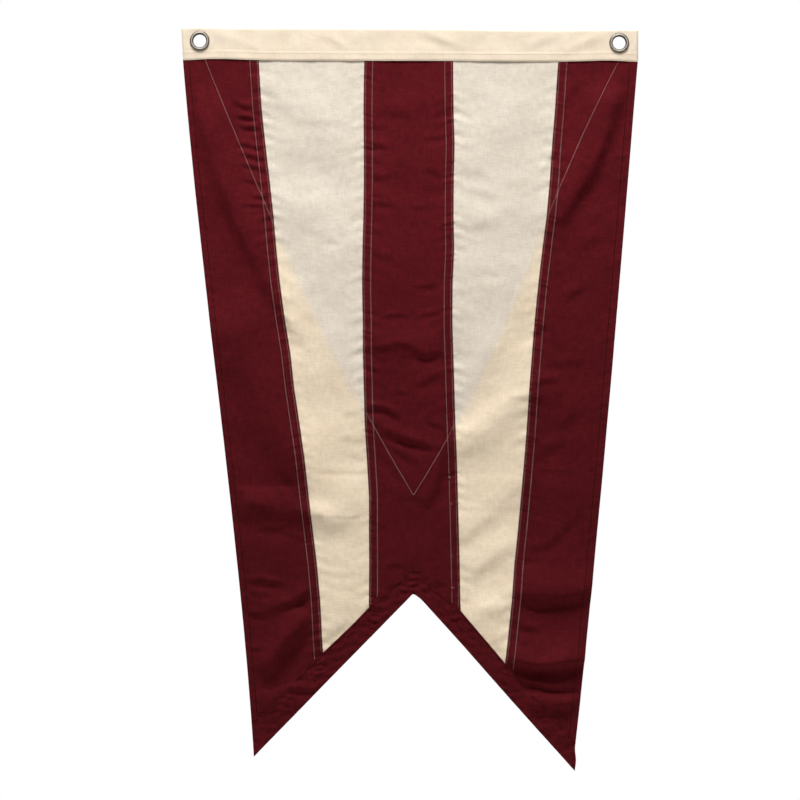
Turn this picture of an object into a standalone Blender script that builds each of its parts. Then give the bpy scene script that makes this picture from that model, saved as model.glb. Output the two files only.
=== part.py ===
"""A state flag: a swallow-tailed cotton flag of five stripes that hangs from two eyelets in a canvas heading.

Metres, +Z up. The origin is the middle of the heading's top edge, +X runs to the right along the heading,
and the face with the felled seams and the facings looks towards -Y.
"""

import math
from collections import namedtuple

import bmesh
import bpy
import numpy as np

# Plies and the air between pieces
PLY = 0.0010
GAP = 0.0003
SEAM_RAISE = 0.0006

# Seams and side edges, as x at four heights from the heading to the tails
SEAM_HEIGHTS = (-0.045, -0.350, -0.660, -0.960)
Seam = namedtuple("Seam", "x_top x_upper x_lower x_bottom")
SEAMS = (
    Seam(-0.3029, -0.2719, -0.2364, -0.2098),
    Seam(-0.2019, -0.1711, -0.1308, -0.1105),
    Seam(-0.0598, -0.0618, -0.0552, -0.0520),
    Seam(0.0573, 0.0581, 0.0645, 0.0775),
    Seam(0.1992, 0.1728, 0.1454, 0.1216),
    Seam(0.3045, 0.2792, 0.2516, 0.2204),
)

# Stripes from left to right. A lapped side carries the felled seam or the hem, which stands proud
Stripe = namedtuple("Stripe", "name material left_lap right_lap inner_columns")
STRIPES = (
    Stripe("stripe_left", "maroon_cotton", True, True, 2),
    Stripe("cream_left", "cream_cotton", False, False, 5),
    Stripe("stripe_centre", "maroon_cotton", True, True, 3),
    Stripe("cream_right", "cream_cotton", False, False, 5),
    Stripe("stripe_right", "maroon_cotton", True, True, 2),
)
LAP_WIDTH = 0.0110
LAP_SHOULDER = 0.0015

# Swallow tail: its notch and tips, its cut edge, and the inner line of the facings sewn along it, as (x, z)
NOTCH = (0.0053, -0.7555)
TIP_LEFT = (-0.2102, -0.9752)
TIP_RIGHT = (0.2204, -0.9912)
TAIL_LINE = (
    TIP_LEFT,
    (-0.1094, -0.8713),
    (-0.0024, -0.7615),
    NOTCH,
    (0.0136, -0.7606),
    (0.0190, -0.7660),
    (0.0725, -0.8252),
    (0.1367, -0.8980),
    TIP_RIGHT,
)
FACING_LINE = (
    (-0.2118, -0.9267),
    (-0.1174, -0.8356),
    (-0.0552, -0.7741),
    (0.0053, -0.7205),
    (0.0324, -0.7494),
    (0.0672, -0.7789),
    (0.1273, -0.8491),
    (0.2209, -0.9530),
)

# Heading: a folded canvas strip, open along its lower edge to take the cloth
HEADING_LEFT = -0.3054
HEADING_RIGHT = 0.3053
HEADING_FALL = 0.0051
HEADING_DEPTH = 0.0428
HEADING_LOWER_FALL = 0.0036
HEADING_THICK = 0.0036
HEADING_FOLD_RADIUS = 0.0009
SLOT_DEPTH = 0.0107
SLOT_WIDTH = PLY + 2 * GAP
HEADING_COLUMNS = 18
HEADING_BOW = 0.0035
HEADING_RIPPLE = 0.0010
RIPPLE_WAVES = 2.5
FLAT_FROM = 0.2600

# Eyelets: a rolled flange in front, a barrel through the heading and a washer behind
Eyelet = namedtuple("Eyelet", "side x z")
EYELETS = (Eyelet("left", -0.2809, -0.0157), Eyelet("right", 0.2799, -0.0185))
EYELET_BORE = 0.00865
BARREL_RADIUS = 0.00940
FLANGE_RADIUS = 0.01325
FLANGE_CROWN = 0.0018
FLARE_RADIUS = 0.01050
FLARE_LIP = 0.0006
FLARE_SINK = 0.00015
FLARE_LIP_SINK = 0.00010
WASHER_SEAT = 0.00990
WASHER_MOUTH = 0.01120
WASHER_THICK = 0.0010
WASHER_CHAMFER = 0.0002
TURNED_SIDES = 28

# The flange's rolled section: how far out, as a share of its width, and how high, as a share of its crown
RollPoint = namedtuple("RollPoint", "out rise")
FLANGE_ROLL = (
    RollPoint(0.10, 0.78),
    RollPoint(0.32, 1.00),
    RollPoint(0.62, 0.95),
    RollPoint(0.88, 0.65),
    RollPoint(1.00, 0.20),
    RollPoint(0.96, 0.00),
)

# Patch on the hidden side, a triangle whose stitched outline bows a little, as (x, z)
PATCH_OUTLINE = (
    (-0.2770, -0.0420),
    (-0.1862, -0.2570),
    (-0.0640, -0.5090),
    (0.0049, -0.6285),
    (0.0635, -0.5290),
    (0.1865, -0.2530),
    (0.2823, -0.0435),
)

# Folds: soft ridges towards the front, each along a smooth line through three points (x, z).
# above and below are the ridge's half widths on its upper and its lower side
Fold = namedtuple("Fold", "name start middle end depth above below")
FOLDS = (
    Fold("left eyelet swag", (-0.286, -0.060), (-0.236, -0.240), (-0.140, -0.420), 0.0085, 0.034, 0.020),
    Fold("right eyelet swag", (0.272, -0.050), (0.246, -0.165), (0.168, -0.285), 0.0085, 0.034, 0.018),
    Fold("left broad swag", (-0.262, -0.350), (-0.203, -0.480), (-0.110, -0.640), 0.0080, 0.052, 0.034),
    Fold("right upper drag", (0.185, -0.455), (0.120, -0.500), (0.050, -0.548), 0.0060, 0.032, 0.024),
    Fold("right middle drag", (0.160, -0.600), (0.110, -0.640), (0.058, -0.678), 0.0045, 0.028, 0.020),
    Fold("right lower drag", (0.158, -0.748), (0.122, -0.768), (0.082, -0.790), 0.0040, 0.025, 0.018),
    Fold("left stripe roll", (-0.232, -0.640), (-0.160, -0.641), (-0.085, -0.668), 0.0060, 0.026, 0.019),
    Fold("left tail slant", (-0.143, -0.783), (-0.171, -0.817), (-0.198, -0.860), 0.0072, 0.022, 0.018),
    Fold("right tail, upper roll", (0.146, -0.747), (0.194, -0.750), (0.246, -0.745), 0.0068, 0.024, 0.018),
    Fold("right tail, sag", (0.132, -0.838), (0.185, -0.850), (0.232, -0.842), 0.0100, 0.026, 0.016),
    Fold("right tail, lower roll", (0.150, -0.900), (0.190, -0.905), (0.228, -0.900), 0.0050, 0.022, 0.018),
    Fold("centre crease", (-0.056, -0.418), (-0.004, -0.422), (0.052, -0.416), 0.0038, 0.022, 0.016),
)
FOLD_STEPS = 61
FOLD_FADE_IN = 0.060

# The broad hang: a belly forward below the heading, and the tails swinging out of line
BELLY = 0.0085
BELLY_CENTRE = (0.010, -0.360)
BELLY_REACH = (0.190, 0.230)
SWING_LEFT = 0.0110
SWING_RIGHT = -0.0060
SWING_FROM = -0.640
SWING_SPREAD = 0.120

# Rows of the cloth from the heading down
SLOT_MARGIN = 0.0007
CLEAR_OF_HEADING = 0.0010
LAP_FROM_HEADING = 0.0050
LAP_FROM_FACING = 0.0040
CLOTH_ROWS = 30
FACING_ROWS = 3

# How far cutters run beyond what they cut, and the rounds it takes a column to settle on a sloping line
CUTTER_REACH = 0.05
MEET_ROUNDS = 8

# Colours (linear), roughness and metallic value of each material
Finish = namedtuple("Finish", "colour roughness metallic")
FINISHES = {
    "maroon_cotton": Finish((0.093, 0.008, 0.011), 0.90, 0.0),
    "cream_cotton": Finish((0.790, 0.670, 0.510), 0.90, 0.0),
    "heading_canvas": Finish((0.900, 0.770, 0.610), 0.92, 0.0),
    "patch_cotton": Finish((0.055, 0.075, 0.130), 0.90, 0.0),
    "eyelet_nickel": Finish((0.360, 0.340, 0.310), 0.35, 1.0),
}


def smooth_step(value):
    """Ease from 0 to 1 as value goes from 0 to 1, held flat outside."""
    value = np.clip(value, 0.0, 1.0)
    return value * value * (3.0 - 2.0 * value)


def seam_x(seam, z):
    """Return a seam's x at height z, on the cubic through its four stated points."""
    total = 0.0
    for i, xi in enumerate(seam):
        weight = 1.0
        for j, zj in enumerate(SEAM_HEIGHTS):
            if j != i:
                weight = weight * (z - zj) / (SEAM_HEIGHTS[i] - zj)
        total = total + weight * xi
    return total


def tail_z(x):
    """Return the height of the swallow tail's cut edge at x."""
    places, heights = zip(*TAIL_LINE)
    return float(np.interp(x, places, heights))


def facing_z(x):
    """Return the height of the facings' inner line at x."""
    places, heights = zip(*FACING_LINE)
    return float(np.interp(x, places, heights))


def heading_top_z(x):
    """Return the height of the heading's folded top edge at x."""
    return -HEADING_FALL * x


def heading_lower_z(x):
    """Return the height of the heading's lower edge at x."""
    return -HEADING_DEPTH - HEADING_LOWER_FALL * x


def heading_y(x):
    """Return how far the heading stands off its eyelets' plane at x: a slight forward bow with a ripple."""
    inside = np.clip(1.0 - (x / FLAT_FROM) ** 2, 0.0, 1.0)
    ripple = np.sin(2.0 * math.pi * RIPPLE_WAVES * x / (2.0 * FLAT_FROM))
    return -(HEADING_BOW + HEADING_RIPPLE * ripple) * inside**2


def fold_y(fold, x, z):
    """Return one fold's offset in y at (x, z)."""
    start, middle, end = (np.array(p) for p in (fold.start, fold.middle, fold.end))
    control = 2.0 * middle - 0.5 * (start + end)
    t = np.linspace(0.0, 1.0, FOLD_STEPS)[:, None]
    points = (1 - t) ** 2 * start + 2 * t * (1 - t) * control + t**2 * end
    tangents = 2 * (1 - t) * (control - start) + 2 * t * (end - control)
    offsets = np.array((x, z)) - points
    nearest = int(np.argmin((offsets**2).sum(axis=1)))
    run, rise = tangents[nearest] / np.linalg.norm(tangents[nearest])
    upward = np.array((-rise, run)) * (1.0 if run > 0 else -1.0)
    across = float(offsets[nearest] @ upward)
    along = float(t[nearest, 0])
    width = fold.above if across > 0 else fold.below
    ends = 1.0 - (2.0 * along - 1.0) ** 4
    return -fold.depth * ends * math.exp(-((across / width) ** 2))


def cloth_y(x, z):
    """Return the y of the cloth's middle surface at (x, z), folds and hang included."""
    belly = ((x - BELLY_CENTRE[0]) / BELLY_REACH[0]) ** 2 + ((z - BELLY_CENTRE[1]) / BELLY_REACH[1]) ** 2
    hang = -BELLY * math.exp(-belly)
    drop = smooth_step((SWING_FROM - z) / (SWING_FROM - TIP_RIGHT[1]))
    aside = (x - NOTCH[0]) / SWING_SPREAD
    swing = SWING_LEFT * smooth_step(-aside) + SWING_RIGHT * smooth_step(aside)
    folds = sum(fold_y(fold, x, z) for fold in FOLDS)
    free = smooth_step((heading_lower_z(x) - CLEAR_OF_HEADING - z) / FOLD_FADE_IN)
    return float(heading_y(x) + free * (folds + hang + drop * swing))


class Column:
    """A line down the cloth at a share of its stripe's width plus an offset, with its raise on the front."""

    def __init__(self, left, right, share, offset, raised=False):
        self.left, self.right = left, right
        self.share, self.offset = share, offset
        self.raised = raised

    def x(self, z):
        """Return the column's x at height z."""
        left, right = seam_x(self.left, z), seam_x(self.right, z)
        return left + self.share * (right - left) + self.offset

    def meet(self, line, above=0.0):
        """Return the height at which the column meets line(x), plus above."""
        z = line(self.x(NOTCH[1])) + above
        for _ in range(MEET_ROUNDS):
            z = line(self.x(z)) + above
        return z


def stripe_columns(index):
    """Return a stripe's columns from left to right."""
    stripe = STRIPES[index]
    left, right = SEAMS[index], SEAMS[index + 1]
    first = 0.0 if index == 0 else GAP / 2
    last = 0.0 if index == len(STRIPES) - 1 else GAP / 2
    columns = [Column(left, right, 0.0, first, stripe.left_lap)]
    shoulder = 0.0
    if stripe.left_lap:
        shoulder = LAP_WIDTH + LAP_SHOULDER
        columns.append(Column(left, right, 0.0, LAP_WIDTH, True))
        columns.append(Column(left, right, 0.0, shoulder))
    spaces = stripe.inner_columns + 1
    for i in range(1, spaces):
        share = i / spaces
        columns.append(Column(left, right, share, shoulder * (1 - 2 * share)))
    if stripe.right_lap:
        columns.append(Column(left, right, 1.0, -shoulder))
        columns.append(Column(left, right, 1.0, -LAP_WIDTH, True))
    columns.append(Column(left, right, 1.0, -last, stripe.right_lap))
    return columns


def joined_columns():
    """Return the columns of all stripes as one run, with a single column at each seam."""
    run = []
    for index in range(len(STRIPES)):
        columns = stripe_columns(index)
        columns[0].offset = 0.0
        columns[-1].offset = 0.0
        run += columns if index == 0 else columns[1:]
    return run


def cloth_heights(column):
    """Return the height and raise of each of a column's rows, from inside the heading to the facings."""
    top = column.meet(heading_lower_z, SLOT_DEPTH - SLOT_MARGIN)
    clear = column.meet(heading_lower_z, -CLEAR_OF_HEADING)
    lap_top = column.meet(heading_lower_z, -LAP_FROM_HEADING)
    facing = column.meet(facing_z)
    rows = [(top, 0.0), (clear, 0.0)]
    for i in range(CLOTH_ROWS + 1):
        share = i / CLOTH_ROWS
        rows.append((lap_top + share * (facing + LAP_FROM_FACING - lap_top), SEAM_RAISE))
    rows.append((facing, 0.0))
    return rows


def facing_heights(column):
    """Return a column's row heights from the facings' inner line to the cut edge."""
    top, bottom = column.meet(facing_z), column.meet(tail_z)
    return [top + (bottom - top) * i / FACING_ROWS for i in range(FACING_ROWS + 1)]


def layer(columns, rows_of, front, back):
    """Return the front and back points of a sheet, as arrays of row, column and coordinate.

    rows_of(column) gives each row's height and raise. front and back are offsets from the middle surface.
    """
    grids = []
    for offset, takes_raise in ((front, True), (back, False)):
        lines = []
        for column in columns:
            line = []
            for z, raise_ in rows_of(column):
                x = column.x(z)
                lift = raise_ if takes_raise and column.raised else 0.0
                line.append((x, cloth_y(x, z) + offset - lift, z))
            lines.append(line)
        grids.append(np.array(lines).transpose(1, 0, 2))
    return grids


def add_object(name, vertices, faces, material):
    """Make an object of its own from points and faces, with its material."""
    mesh = bpy.data.meshes.new(name)
    mesh.from_pydata([tuple(v) for v in vertices], [], faces)
    mesh.materials.append(material)
    mesh.update()
    obj = bpy.data.objects.new(name, mesh)
    bpy.context.scene.collection.objects.link(obj)
    return obj


def add_sheet(name, front, back, material):
    """Close two grids into one body. Both layers share their diagonals, so plies stay parallel."""
    rows, columns, _ = front.shape
    vertices = np.concatenate((front.reshape(-1, 3), back.reshape(-1, 3)))
    shift = rows * columns

    def at(row, column):
        return row * columns + column

    faces = []
    for r in range(rows - 1):
        for c in range(columns - 1):
            a, b, d, e = at(r, c), at(r + 1, c), at(r + 1, c + 1), at(r, c + 1)
            faces += [(a, b, d), (a, d, e)]
            faces += [(a + shift, d + shift, b + shift), (a + shift, e + shift, d + shift)]
    for c in range(columns - 1):
        top, bottom = (at(0, c), at(0, c + 1)), (at(rows - 1, c), at(rows - 1, c + 1))
        faces.append((top[0], top[1], top[1] + shift, top[0] + shift))
        faces.append((bottom[1], bottom[0], bottom[0] + shift, bottom[1] + shift))
    for r in range(rows - 1):
        left, right = (at(r, 0), at(r + 1, 0)), (at(r, columns - 1), at(r + 1, columns - 1))
        faces.append((left[1], left[0], left[0] + shift, left[1] + shift))
        faces.append((right[0], right[1], right[1] + shift, right[0] + shift))
    return add_object(name, vertices, faces, material)


def add_turned(name, profile, centre, material):
    """Turn a closed profile of (radius, y) points about the axis along Y through centre (x, z)."""
    vertices = []
    for side in range(TURNED_SIDES):
        angle = 2.0 * math.pi * side / TURNED_SIDES
        for radius, y in profile:
            vertices.append((centre[0] + radius * math.cos(angle), y, centre[1] + radius * math.sin(angle)))
    count = len(profile)
    faces = []
    for side in range(TURNED_SIDES):
        here, there = side * count, (side + 1) % TURNED_SIDES * count
        for i in range(count):
            j = (i + 1) % count
            faces.append((here + i, here + j, there + j, there + i))
    return add_object(name, vertices, faces, material)


def add_prism(name, outline, y_front, y_back):
    """Make a closed cutter from an outline of (x, z) points, run along Y."""
    count = len(outline)
    vertices = [(x, y, z) for y in (y_front, y_back) for x, z in outline]
    faces = [tuple(range(count)), tuple(range(2 * count - 1, count - 1, -1))]
    for i in range(count):
        j = (i + 1) % count
        faces.append((j, i, i + count, j + count))
    obj = add_object(name, vertices, faces, None)
    shape = bmesh.new()
    shape.from_mesh(obj.data)
    bmesh.ops.recalc_face_normals(shape, faces=shape.faces)
    shape.to_mesh(obj.data)
    shape.free()
    obj.hide_render = True
    obj.display_type = "WIRE"
    return obj


def cut(obj, cutter, operation):
    """Add a Boolean modifier to an object."""
    modifier = obj.modifiers.new(cutter.name, "BOOLEAN")
    modifier.operation = operation
    modifier.solver = "EXACT"
    modifier.object = cutter


def add_stripes(materials):
    """Build the five stripes, hems and felled laps included, from the heading's slot to the swallow tail."""
    for index, stripe in enumerate(STRIPES):

        def rows_of(column):
            below = [(z, 0.0) for z in facing_heights(column)[1:]]
            return cloth_heights(column) + below

        front, back = layer(stripe_columns(index), rows_of, -PLY / 2, PLY / 2)
        add_sheet(stripe.name, front, back, materials[stripe.material])


def add_facings(materials):
    """Build the two bands sewn on the front of the swallow tail, which meet in a mitre above the notch."""
    run = joined_columns()
    middle = min(range(len(run)), key=lambda i: abs(run[i].x(NOTCH[1]) - NOTCH[0]))
    sides = (("facing_left", run[: middle + 1], -1), ("facing_right", run[middle:], 0))
    for name, columns, mitre in sides:
        own = [Column(c.left, c.right, c.share, c.offset) for c in columns]
        own[mitre].offset += -GAP / 2 if mitre else GAP / 2

        def rows_of(column):
            return [(z, 0.0) for z in facing_heights(column)]

        near = -PLY / 2 - GAP
        front, back = layer(own, rows_of, near - PLY, near)
        add_sheet(name, front, back, materials["maroon_cotton"])


def add_patch(materials):
    """Build the triangular patch behind the stripes, from just below the heading."""

    def rows_of(column):
        top = column.meet(heading_lower_z, -GAP)
        return [(top, 0.0)] + [(z, 0.0) for z, _ in cloth_heights(column)[1:-1]]

    near = PLY / 2 + GAP
    front, back = layer(joined_columns(), rows_of, near, near + PLY)
    patch = add_sheet("hoist_triangle", front, back, materials["patch_cotton"])
    top = [(PATCH_OUTLINE[-1][0], CUTTER_REACH), (PATCH_OUTLINE[0][0], CUTTER_REACH)]
    outline = add_prism("patch_outline", list(PATCH_OUTLINE) + top, -CUTTER_REACH, CUTTER_REACH)
    cut(patch, outline, "INTERSECT")


def heading_section(x):
    """Return the heading's closed section at x, as (y, z) points: fold on top, slot along the lower edge."""
    top, low, middle = heading_top_z(x), heading_lower_z(x), float(heading_y(x))
    half, slot = HEADING_THICK / 2, SLOT_WIDTH / 2
    radius = HEADING_FOLD_RADIUS
    bevel = radius * (1.0 - math.sqrt(0.5))
    outer = [
        (-half, low),
        (-half, low + SLOT_DEPTH),
        (-half, top - radius),
        (-half + bevel, top - bevel),
        (-half + radius, top),
        (half - radius, top),
        (half - bevel, top - bevel),
        (half, top - radius),
        (half, low + SLOT_DEPTH),
        (half, low),
    ]
    inner = [(slot, low), (slot, low + SLOT_DEPTH), (-slot, low + SLOT_DEPTH), (-slot, low)]
    return [(middle + y, z) for y, z in outer + inner]


def add_heading(materials):
    """Build the heading with its two eyelet holes."""
    inner = [FLAT_FROM * (2.0 * i / (HEADING_COLUMNS - 1) - 1.0) for i in range(HEADING_COLUMNS)]
    places = [HEADING_LEFT] + inner + [HEADING_RIGHT]
    sections = [heading_section(x) for x in places]
    count = len(sections[0])
    vertices = [(x, y, z) for x, section in zip(places, sections) for y, z in section]
    faces = [tuple(range(count)), tuple(range(len(vertices) - 1, len(vertices) - 1 - count, -1))]
    for i in range(len(places) - 1):
        for j in range(count):
            k = (j + 1) % count
            faces.append((i * count + k, i * count + j, (i + 1) * count + j, (i + 1) * count + k))
    heading = add_object("heading", vertices, faces, materials["heading_canvas"])
    hole = BARREL_RADIUS + GAP
    for eyelet in EYELETS:
        ring = []
        for side in range(TURNED_SIDES):
            angle = 2.0 * math.pi * (side + 0.5) / TURNED_SIDES
            ring.append((eyelet.x + hole * math.cos(angle), eyelet.z + hole * math.sin(angle)))
        cut(heading, add_prism("hole_" + eyelet.side, ring, -CUTTER_REACH, CUTTER_REACH), "DIFFERENCE")


def add_eyelets(materials):
    """Build each eyelet, with its rolled flange in front and its flare in the washer behind, and the washer."""
    seat = HEADING_THICK / 2 + GAP
    back = seat + WASHER_THICK
    width = FLANGE_RADIUS - EYELET_BORE
    ring = [(EYELET_BORE, seat), (EYELET_BORE, -seat)]
    ring += [(EYELET_BORE + point.out * width, -seat - point.rise * FLANGE_CROWN) for point in FLANGE_ROLL]
    ring += [
        (BARREL_RADIUS, -seat),
        (BARREL_RADIUS, seat),
        (FLARE_RADIUS, back - FLARE_SINK),
        (FLARE_RADIUS - FLARE_LIP, back - FLARE_LIP_SINK),
    ]
    washer = [
        (WASHER_SEAT, seat),
        (FLANGE_RADIUS, seat),
        (FLANGE_RADIUS, back - WASHER_CHAMFER),
        (FLANGE_RADIUS - WASHER_CHAMFER, back),
        (WASHER_MOUTH, back),
    ]
    for eyelet in EYELETS:
        centre = (eyelet.x, eyelet.z)
        add_turned("eyelet_" + eyelet.side, ring, centre, materials["eyelet_nickel"])
        add_turned("washer_" + eyelet.side, washer, centre, materials["eyelet_nickel"])


def make_materials():
    """Make one Principled material for each finish."""
    made = {}
    for name, finish in FINISHES.items():
        material = bpy.data.materials.new(name)
        material.use_nodes = True
        shader = material.node_tree.nodes["Principled BSDF"]
        shader.inputs["Base Color"].default_value = (*finish.colour, 1.0)
        shader.inputs["Roughness"].default_value = finish.roughness
        shader.inputs["Metallic"].default_value = finish.metallic
        made[name] = material
    return made


def main():
    """Empty the scene and build the flag."""
    for obj in list(bpy.data.objects):
        bpy.data.objects.remove(obj, do_unlink=True)
    materials = make_materials()
    add_heading(materials)
    add_eyelets(materials)
    add_stripes(materials)
    add_facings(materials)
    add_patch(materials)


main()
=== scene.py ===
"""Dress the state flag: a swallow-tailed cotton flag of five stripes that hangs from two eyelets.

Metres, +Z up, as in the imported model. The origin is the middle of the heading's top edge, +X runs right
along the heading, and the face with the felled seams and the facings looks towards -Y.
"""

import logging
import math
from dataclasses import dataclass, field
from enum import Enum
from functools import cache
from typing import Callable, NamedTuple, Sequence

import bpy
import numpy as np
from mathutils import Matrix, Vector


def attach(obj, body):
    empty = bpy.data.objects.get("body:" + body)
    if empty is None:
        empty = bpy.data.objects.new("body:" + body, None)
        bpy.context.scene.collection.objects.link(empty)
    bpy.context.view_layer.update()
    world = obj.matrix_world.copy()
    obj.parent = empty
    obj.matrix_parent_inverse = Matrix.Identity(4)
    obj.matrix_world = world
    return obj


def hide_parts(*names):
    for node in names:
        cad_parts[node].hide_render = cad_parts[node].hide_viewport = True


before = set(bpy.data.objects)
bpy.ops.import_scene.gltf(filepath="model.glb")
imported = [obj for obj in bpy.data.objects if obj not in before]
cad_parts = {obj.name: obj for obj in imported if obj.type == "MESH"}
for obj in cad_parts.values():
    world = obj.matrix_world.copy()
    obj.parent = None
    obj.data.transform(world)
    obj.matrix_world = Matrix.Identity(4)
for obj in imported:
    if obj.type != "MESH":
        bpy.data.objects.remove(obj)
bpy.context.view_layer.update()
BODY = "root"
LOG = logging.getLogger("state_flag")
SETTLING_ROUNDS = 12  # in these a column's slant and the heights of its ends settle on each other
MM_PER_METRE = 1000.0  # the fold tables, the eyelets' sections and the seams' wanders are in millimetres
TINY = 1e-12  # keeps a division by a length finite
MIX_FIRST, MIX_SECOND, MIX_RESULT = 6, 7, 2  # the colour sockets of a Mix node
UPRIGHT = math.pi / 2.0

Array = np.ndarray
Point = tuple[float, float]
Surface = Callable[[Array, Array], Array]
Triple = tuple[float, float, float]
Colour = Triple
NodeOwner = bpy.types.Material | bpy.types.World


def smooth_step(value: Array) -> Array:
    """Ease from 0 to 1 as value goes from 0 to 1, held flat outside."""
    value = np.clip(value, 0.0, 1.0)
    return value * value * (3.0 - 2.0 * value)


def through_points(heights: Sequence[float], places: Sequence[float], z: Array) -> Array:
    """Follow the polynomial through a few stated points.

    Args:
        heights: The z of each point.
        places: The x of each point.
        z: Heights to work out x at.

    Returns:
        x at each height.
    """
    total = np.zeros_like(z, dtype=float)
    for i, place in enumerate(places):
        weight = np.ones_like(total)
        for j, height in enumerate(heights):
            if j != i:
                weight = weight * (z - height) / (heights[i] - height)
        total = total + weight * place
    return total


def along_line(points: Sequence[Point], x: Array) -> Array:
    """Return the height at each x of a line of straight pieces."""
    places, heights = zip(*points)
    return np.interp(x, places, heights)


class Waver:
    """A smooth, irregular, seeded run of waves along a length."""

    def __init__(self, seed: int, pitch: float, spread: float = 0.55, count: int = 7) -> None:
        """Draw the waves.

        Args:
            seed: Seed of the draw.
            pitch: Mean wavelength in metres.
            spread: How far each wave's frequency may lie from the mean, as a share.
            count: How many waves are summed.
        """
        draw = np.random.default_rng(seed)
        self.turns = 2.0 * math.pi / pitch * (1.0 + spread * draw.uniform(-1.0, 1.0, count))
        self.phases = draw.uniform(0.0, 2.0 * math.pi, count)
        self.share = math.sqrt(2.0 / count)

    def at(self, along: Array) -> Array:
        """Return the wave's height at each place along, mostly between -1 and 1."""
        return self.share * sum(np.sin(turn * along + phase) for turn, phase in zip(self.turns, self.phases))


class Ripple:
    """Soft seeded unevenness over a surface, with waves in many directions."""

    def __init__(
        self, seed: int, shortest: float, longest: float, upright: float = 1.0, count: int = 26
    ) -> None:
        """Draw the waves.

        Args:
            seed: Seed of the draw.
            shortest: Shortest wavelength in metres.
            longest: Longest wavelength in metres.
            upright: Above 1 the waves lie more nearly level and follow each other down the cloth.
            count: How many waves are summed.
        """
        draw = np.random.default_rng(seed)
        lengths = shortest * (longest / shortest) ** draw.uniform(0.0, 1.0, count)
        angles = draw.uniform(0.0, math.pi, count)
        across, down = np.cos(angles), np.sin(angles) * upright
        scale = np.hypot(across, down)
        self.run = 2.0 * math.pi / lengths * across / scale
        self.rise = 2.0 * math.pi / lengths * down / scale
        self.phases = draw.uniform(0.0, 2.0 * math.pi, count)
        self.weights = lengths / longest
        self.share = math.sqrt(2.0 / float((self.weights**2).sum()))

    def at(self, x: Array, z: Array) -> Array:
        """Return the unevenness at each point, mostly between -1 and 1."""
        waves = zip(self.run, self.rise, self.phases, self.weights)
        return self.share * sum(size * np.sin(a * x + b * z + phase) for a, b, phase, size in waves)


class Profile(Enum):
    """The section of a fold in the cloth, across its line."""

    RIDGE = "ridge"
    CREASE = "crease"
    PRESS = "press"


@dataclass(frozen=True)
class Fold:
    """A soft fold along a smooth line through three points.

    A ridge stands towards the front along its line. A crease stands forward above its line and back below
    it, so that the line itself faces down. A pressed crease bends sharply and stands forward below its line
    only. above and below are the half widths on the two sides, taper is the share of the line in which an
    end fades out, steps and rounds are how finely the nearest point of the line is sought, and reach is how
    far the fold is felt, in half widths.
    """

    start: Point
    middle: Point
    end: Point
    depth: float
    above: float
    below: float
    profile: Profile = Profile.RIDGE
    taper: float = 0.24
    steps: int = 41
    rounds: int = 3
    reach: float = 3.0

    def curve(self, share: Array) -> tuple[Array, Array]:
        """Work out points of the line.

        Args:
            share: How far along the line each lies, from 0 to 1.

        Returns:
            The points, and the line's tangents there.
        """
        start, middle, end = (np.array(p) for p in (self.start, self.middle, self.end))
        control = 2.0 * middle - 0.5 * (start + end)
        t = share[:, None]
        points = (1 - t) ** 2 * start + 2 * t * (1 - t) * control + t**2 * end
        return points, 2 * (1 - t) * (control - start) + 2 * t * (end - control)

    def offset(self, x: Array, z: Array) -> Array:
        """Return the fold's offset in y at each point.

        Args:
            x: Where the points lie across the flag.
            z: Their heights.

        Returns:
            The offsets, negative towards the front.
        """
        line, _ = self.curve(np.linspace(0.0, 1.0, self.steps))
        widest = self.reach * max(self.above, self.below)
        low, high = line.min(axis=0) - widest, line.max(axis=0) + widest
        near = (x > low[0]) & (x < high[0]) & (z > low[1]) & (z < high[1])
        result = np.zeros_like(x, dtype=float)
        if not near.any():
            return result
        place = np.stack((x[near], z[near]), axis=-1)
        distance = ((place[:, None] - line[None]) ** 2).sum(axis=-1)
        share = distance.argmin(axis=1) / (self.steps - 1.0)
        for _ in range(self.rounds):
            points, tangents = self.curve(share)
            along = ((place - points) * tangents).sum(axis=1) / (tangents**2).sum(axis=1)
            share = np.clip(share + along, 0.0, 1.0)
        points, tangents = self.curve(share)
        gap = place - points
        upward = np.where(tangents[:, 0] > 0, 1.0, -1.0) / np.linalg.norm(tangents, axis=1)
        across = (gap[:, 1] * tangents[:, 0] - gap[:, 0] * tangents[:, 1]) * upward
        across = across / np.where(across > 0, self.above, self.below)
        middle = (2.0 * share - 1.0) ** 2
        tapered = smooth_step(np.minimum(share, 1.0 - share) / self.taper)
        if self.profile is Profile.RIDGE:
            result[near] = -self.depth * tapered * np.exp(-(across**2))
        elif self.profile is Profile.PRESS:
            down = np.maximum(-across, 0.0)
            result[near] = -self.depth * tapered * down * np.exp(1.0 - down)
        else:
            result[near] = -self.depth * (1.0 - middle) * across * np.exp(0.5 - 0.5 * across**2)
        return result


def folds_from(profile: Profile, *rows: Sequence[float]) -> tuple[Fold, ...]:
    """Make folds from rows of nine numbers in millimetres.

    Args:
        profile: The section that they all have.
        rows: For each fold x and z of its start, its middle and its end, then depth, above and below.

    Returns:
        The folds, in metres.
    """
    folds = []
    for row in rows:
        x1, z1, x2, z2, x3, z3, depth, above, below = (number / MM_PER_METRE for number in row)
        folds.append(Fold((x1, z1), (x2, z2), (x3, z3), depth, above, below, profile))
    return tuple(folds)


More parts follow.
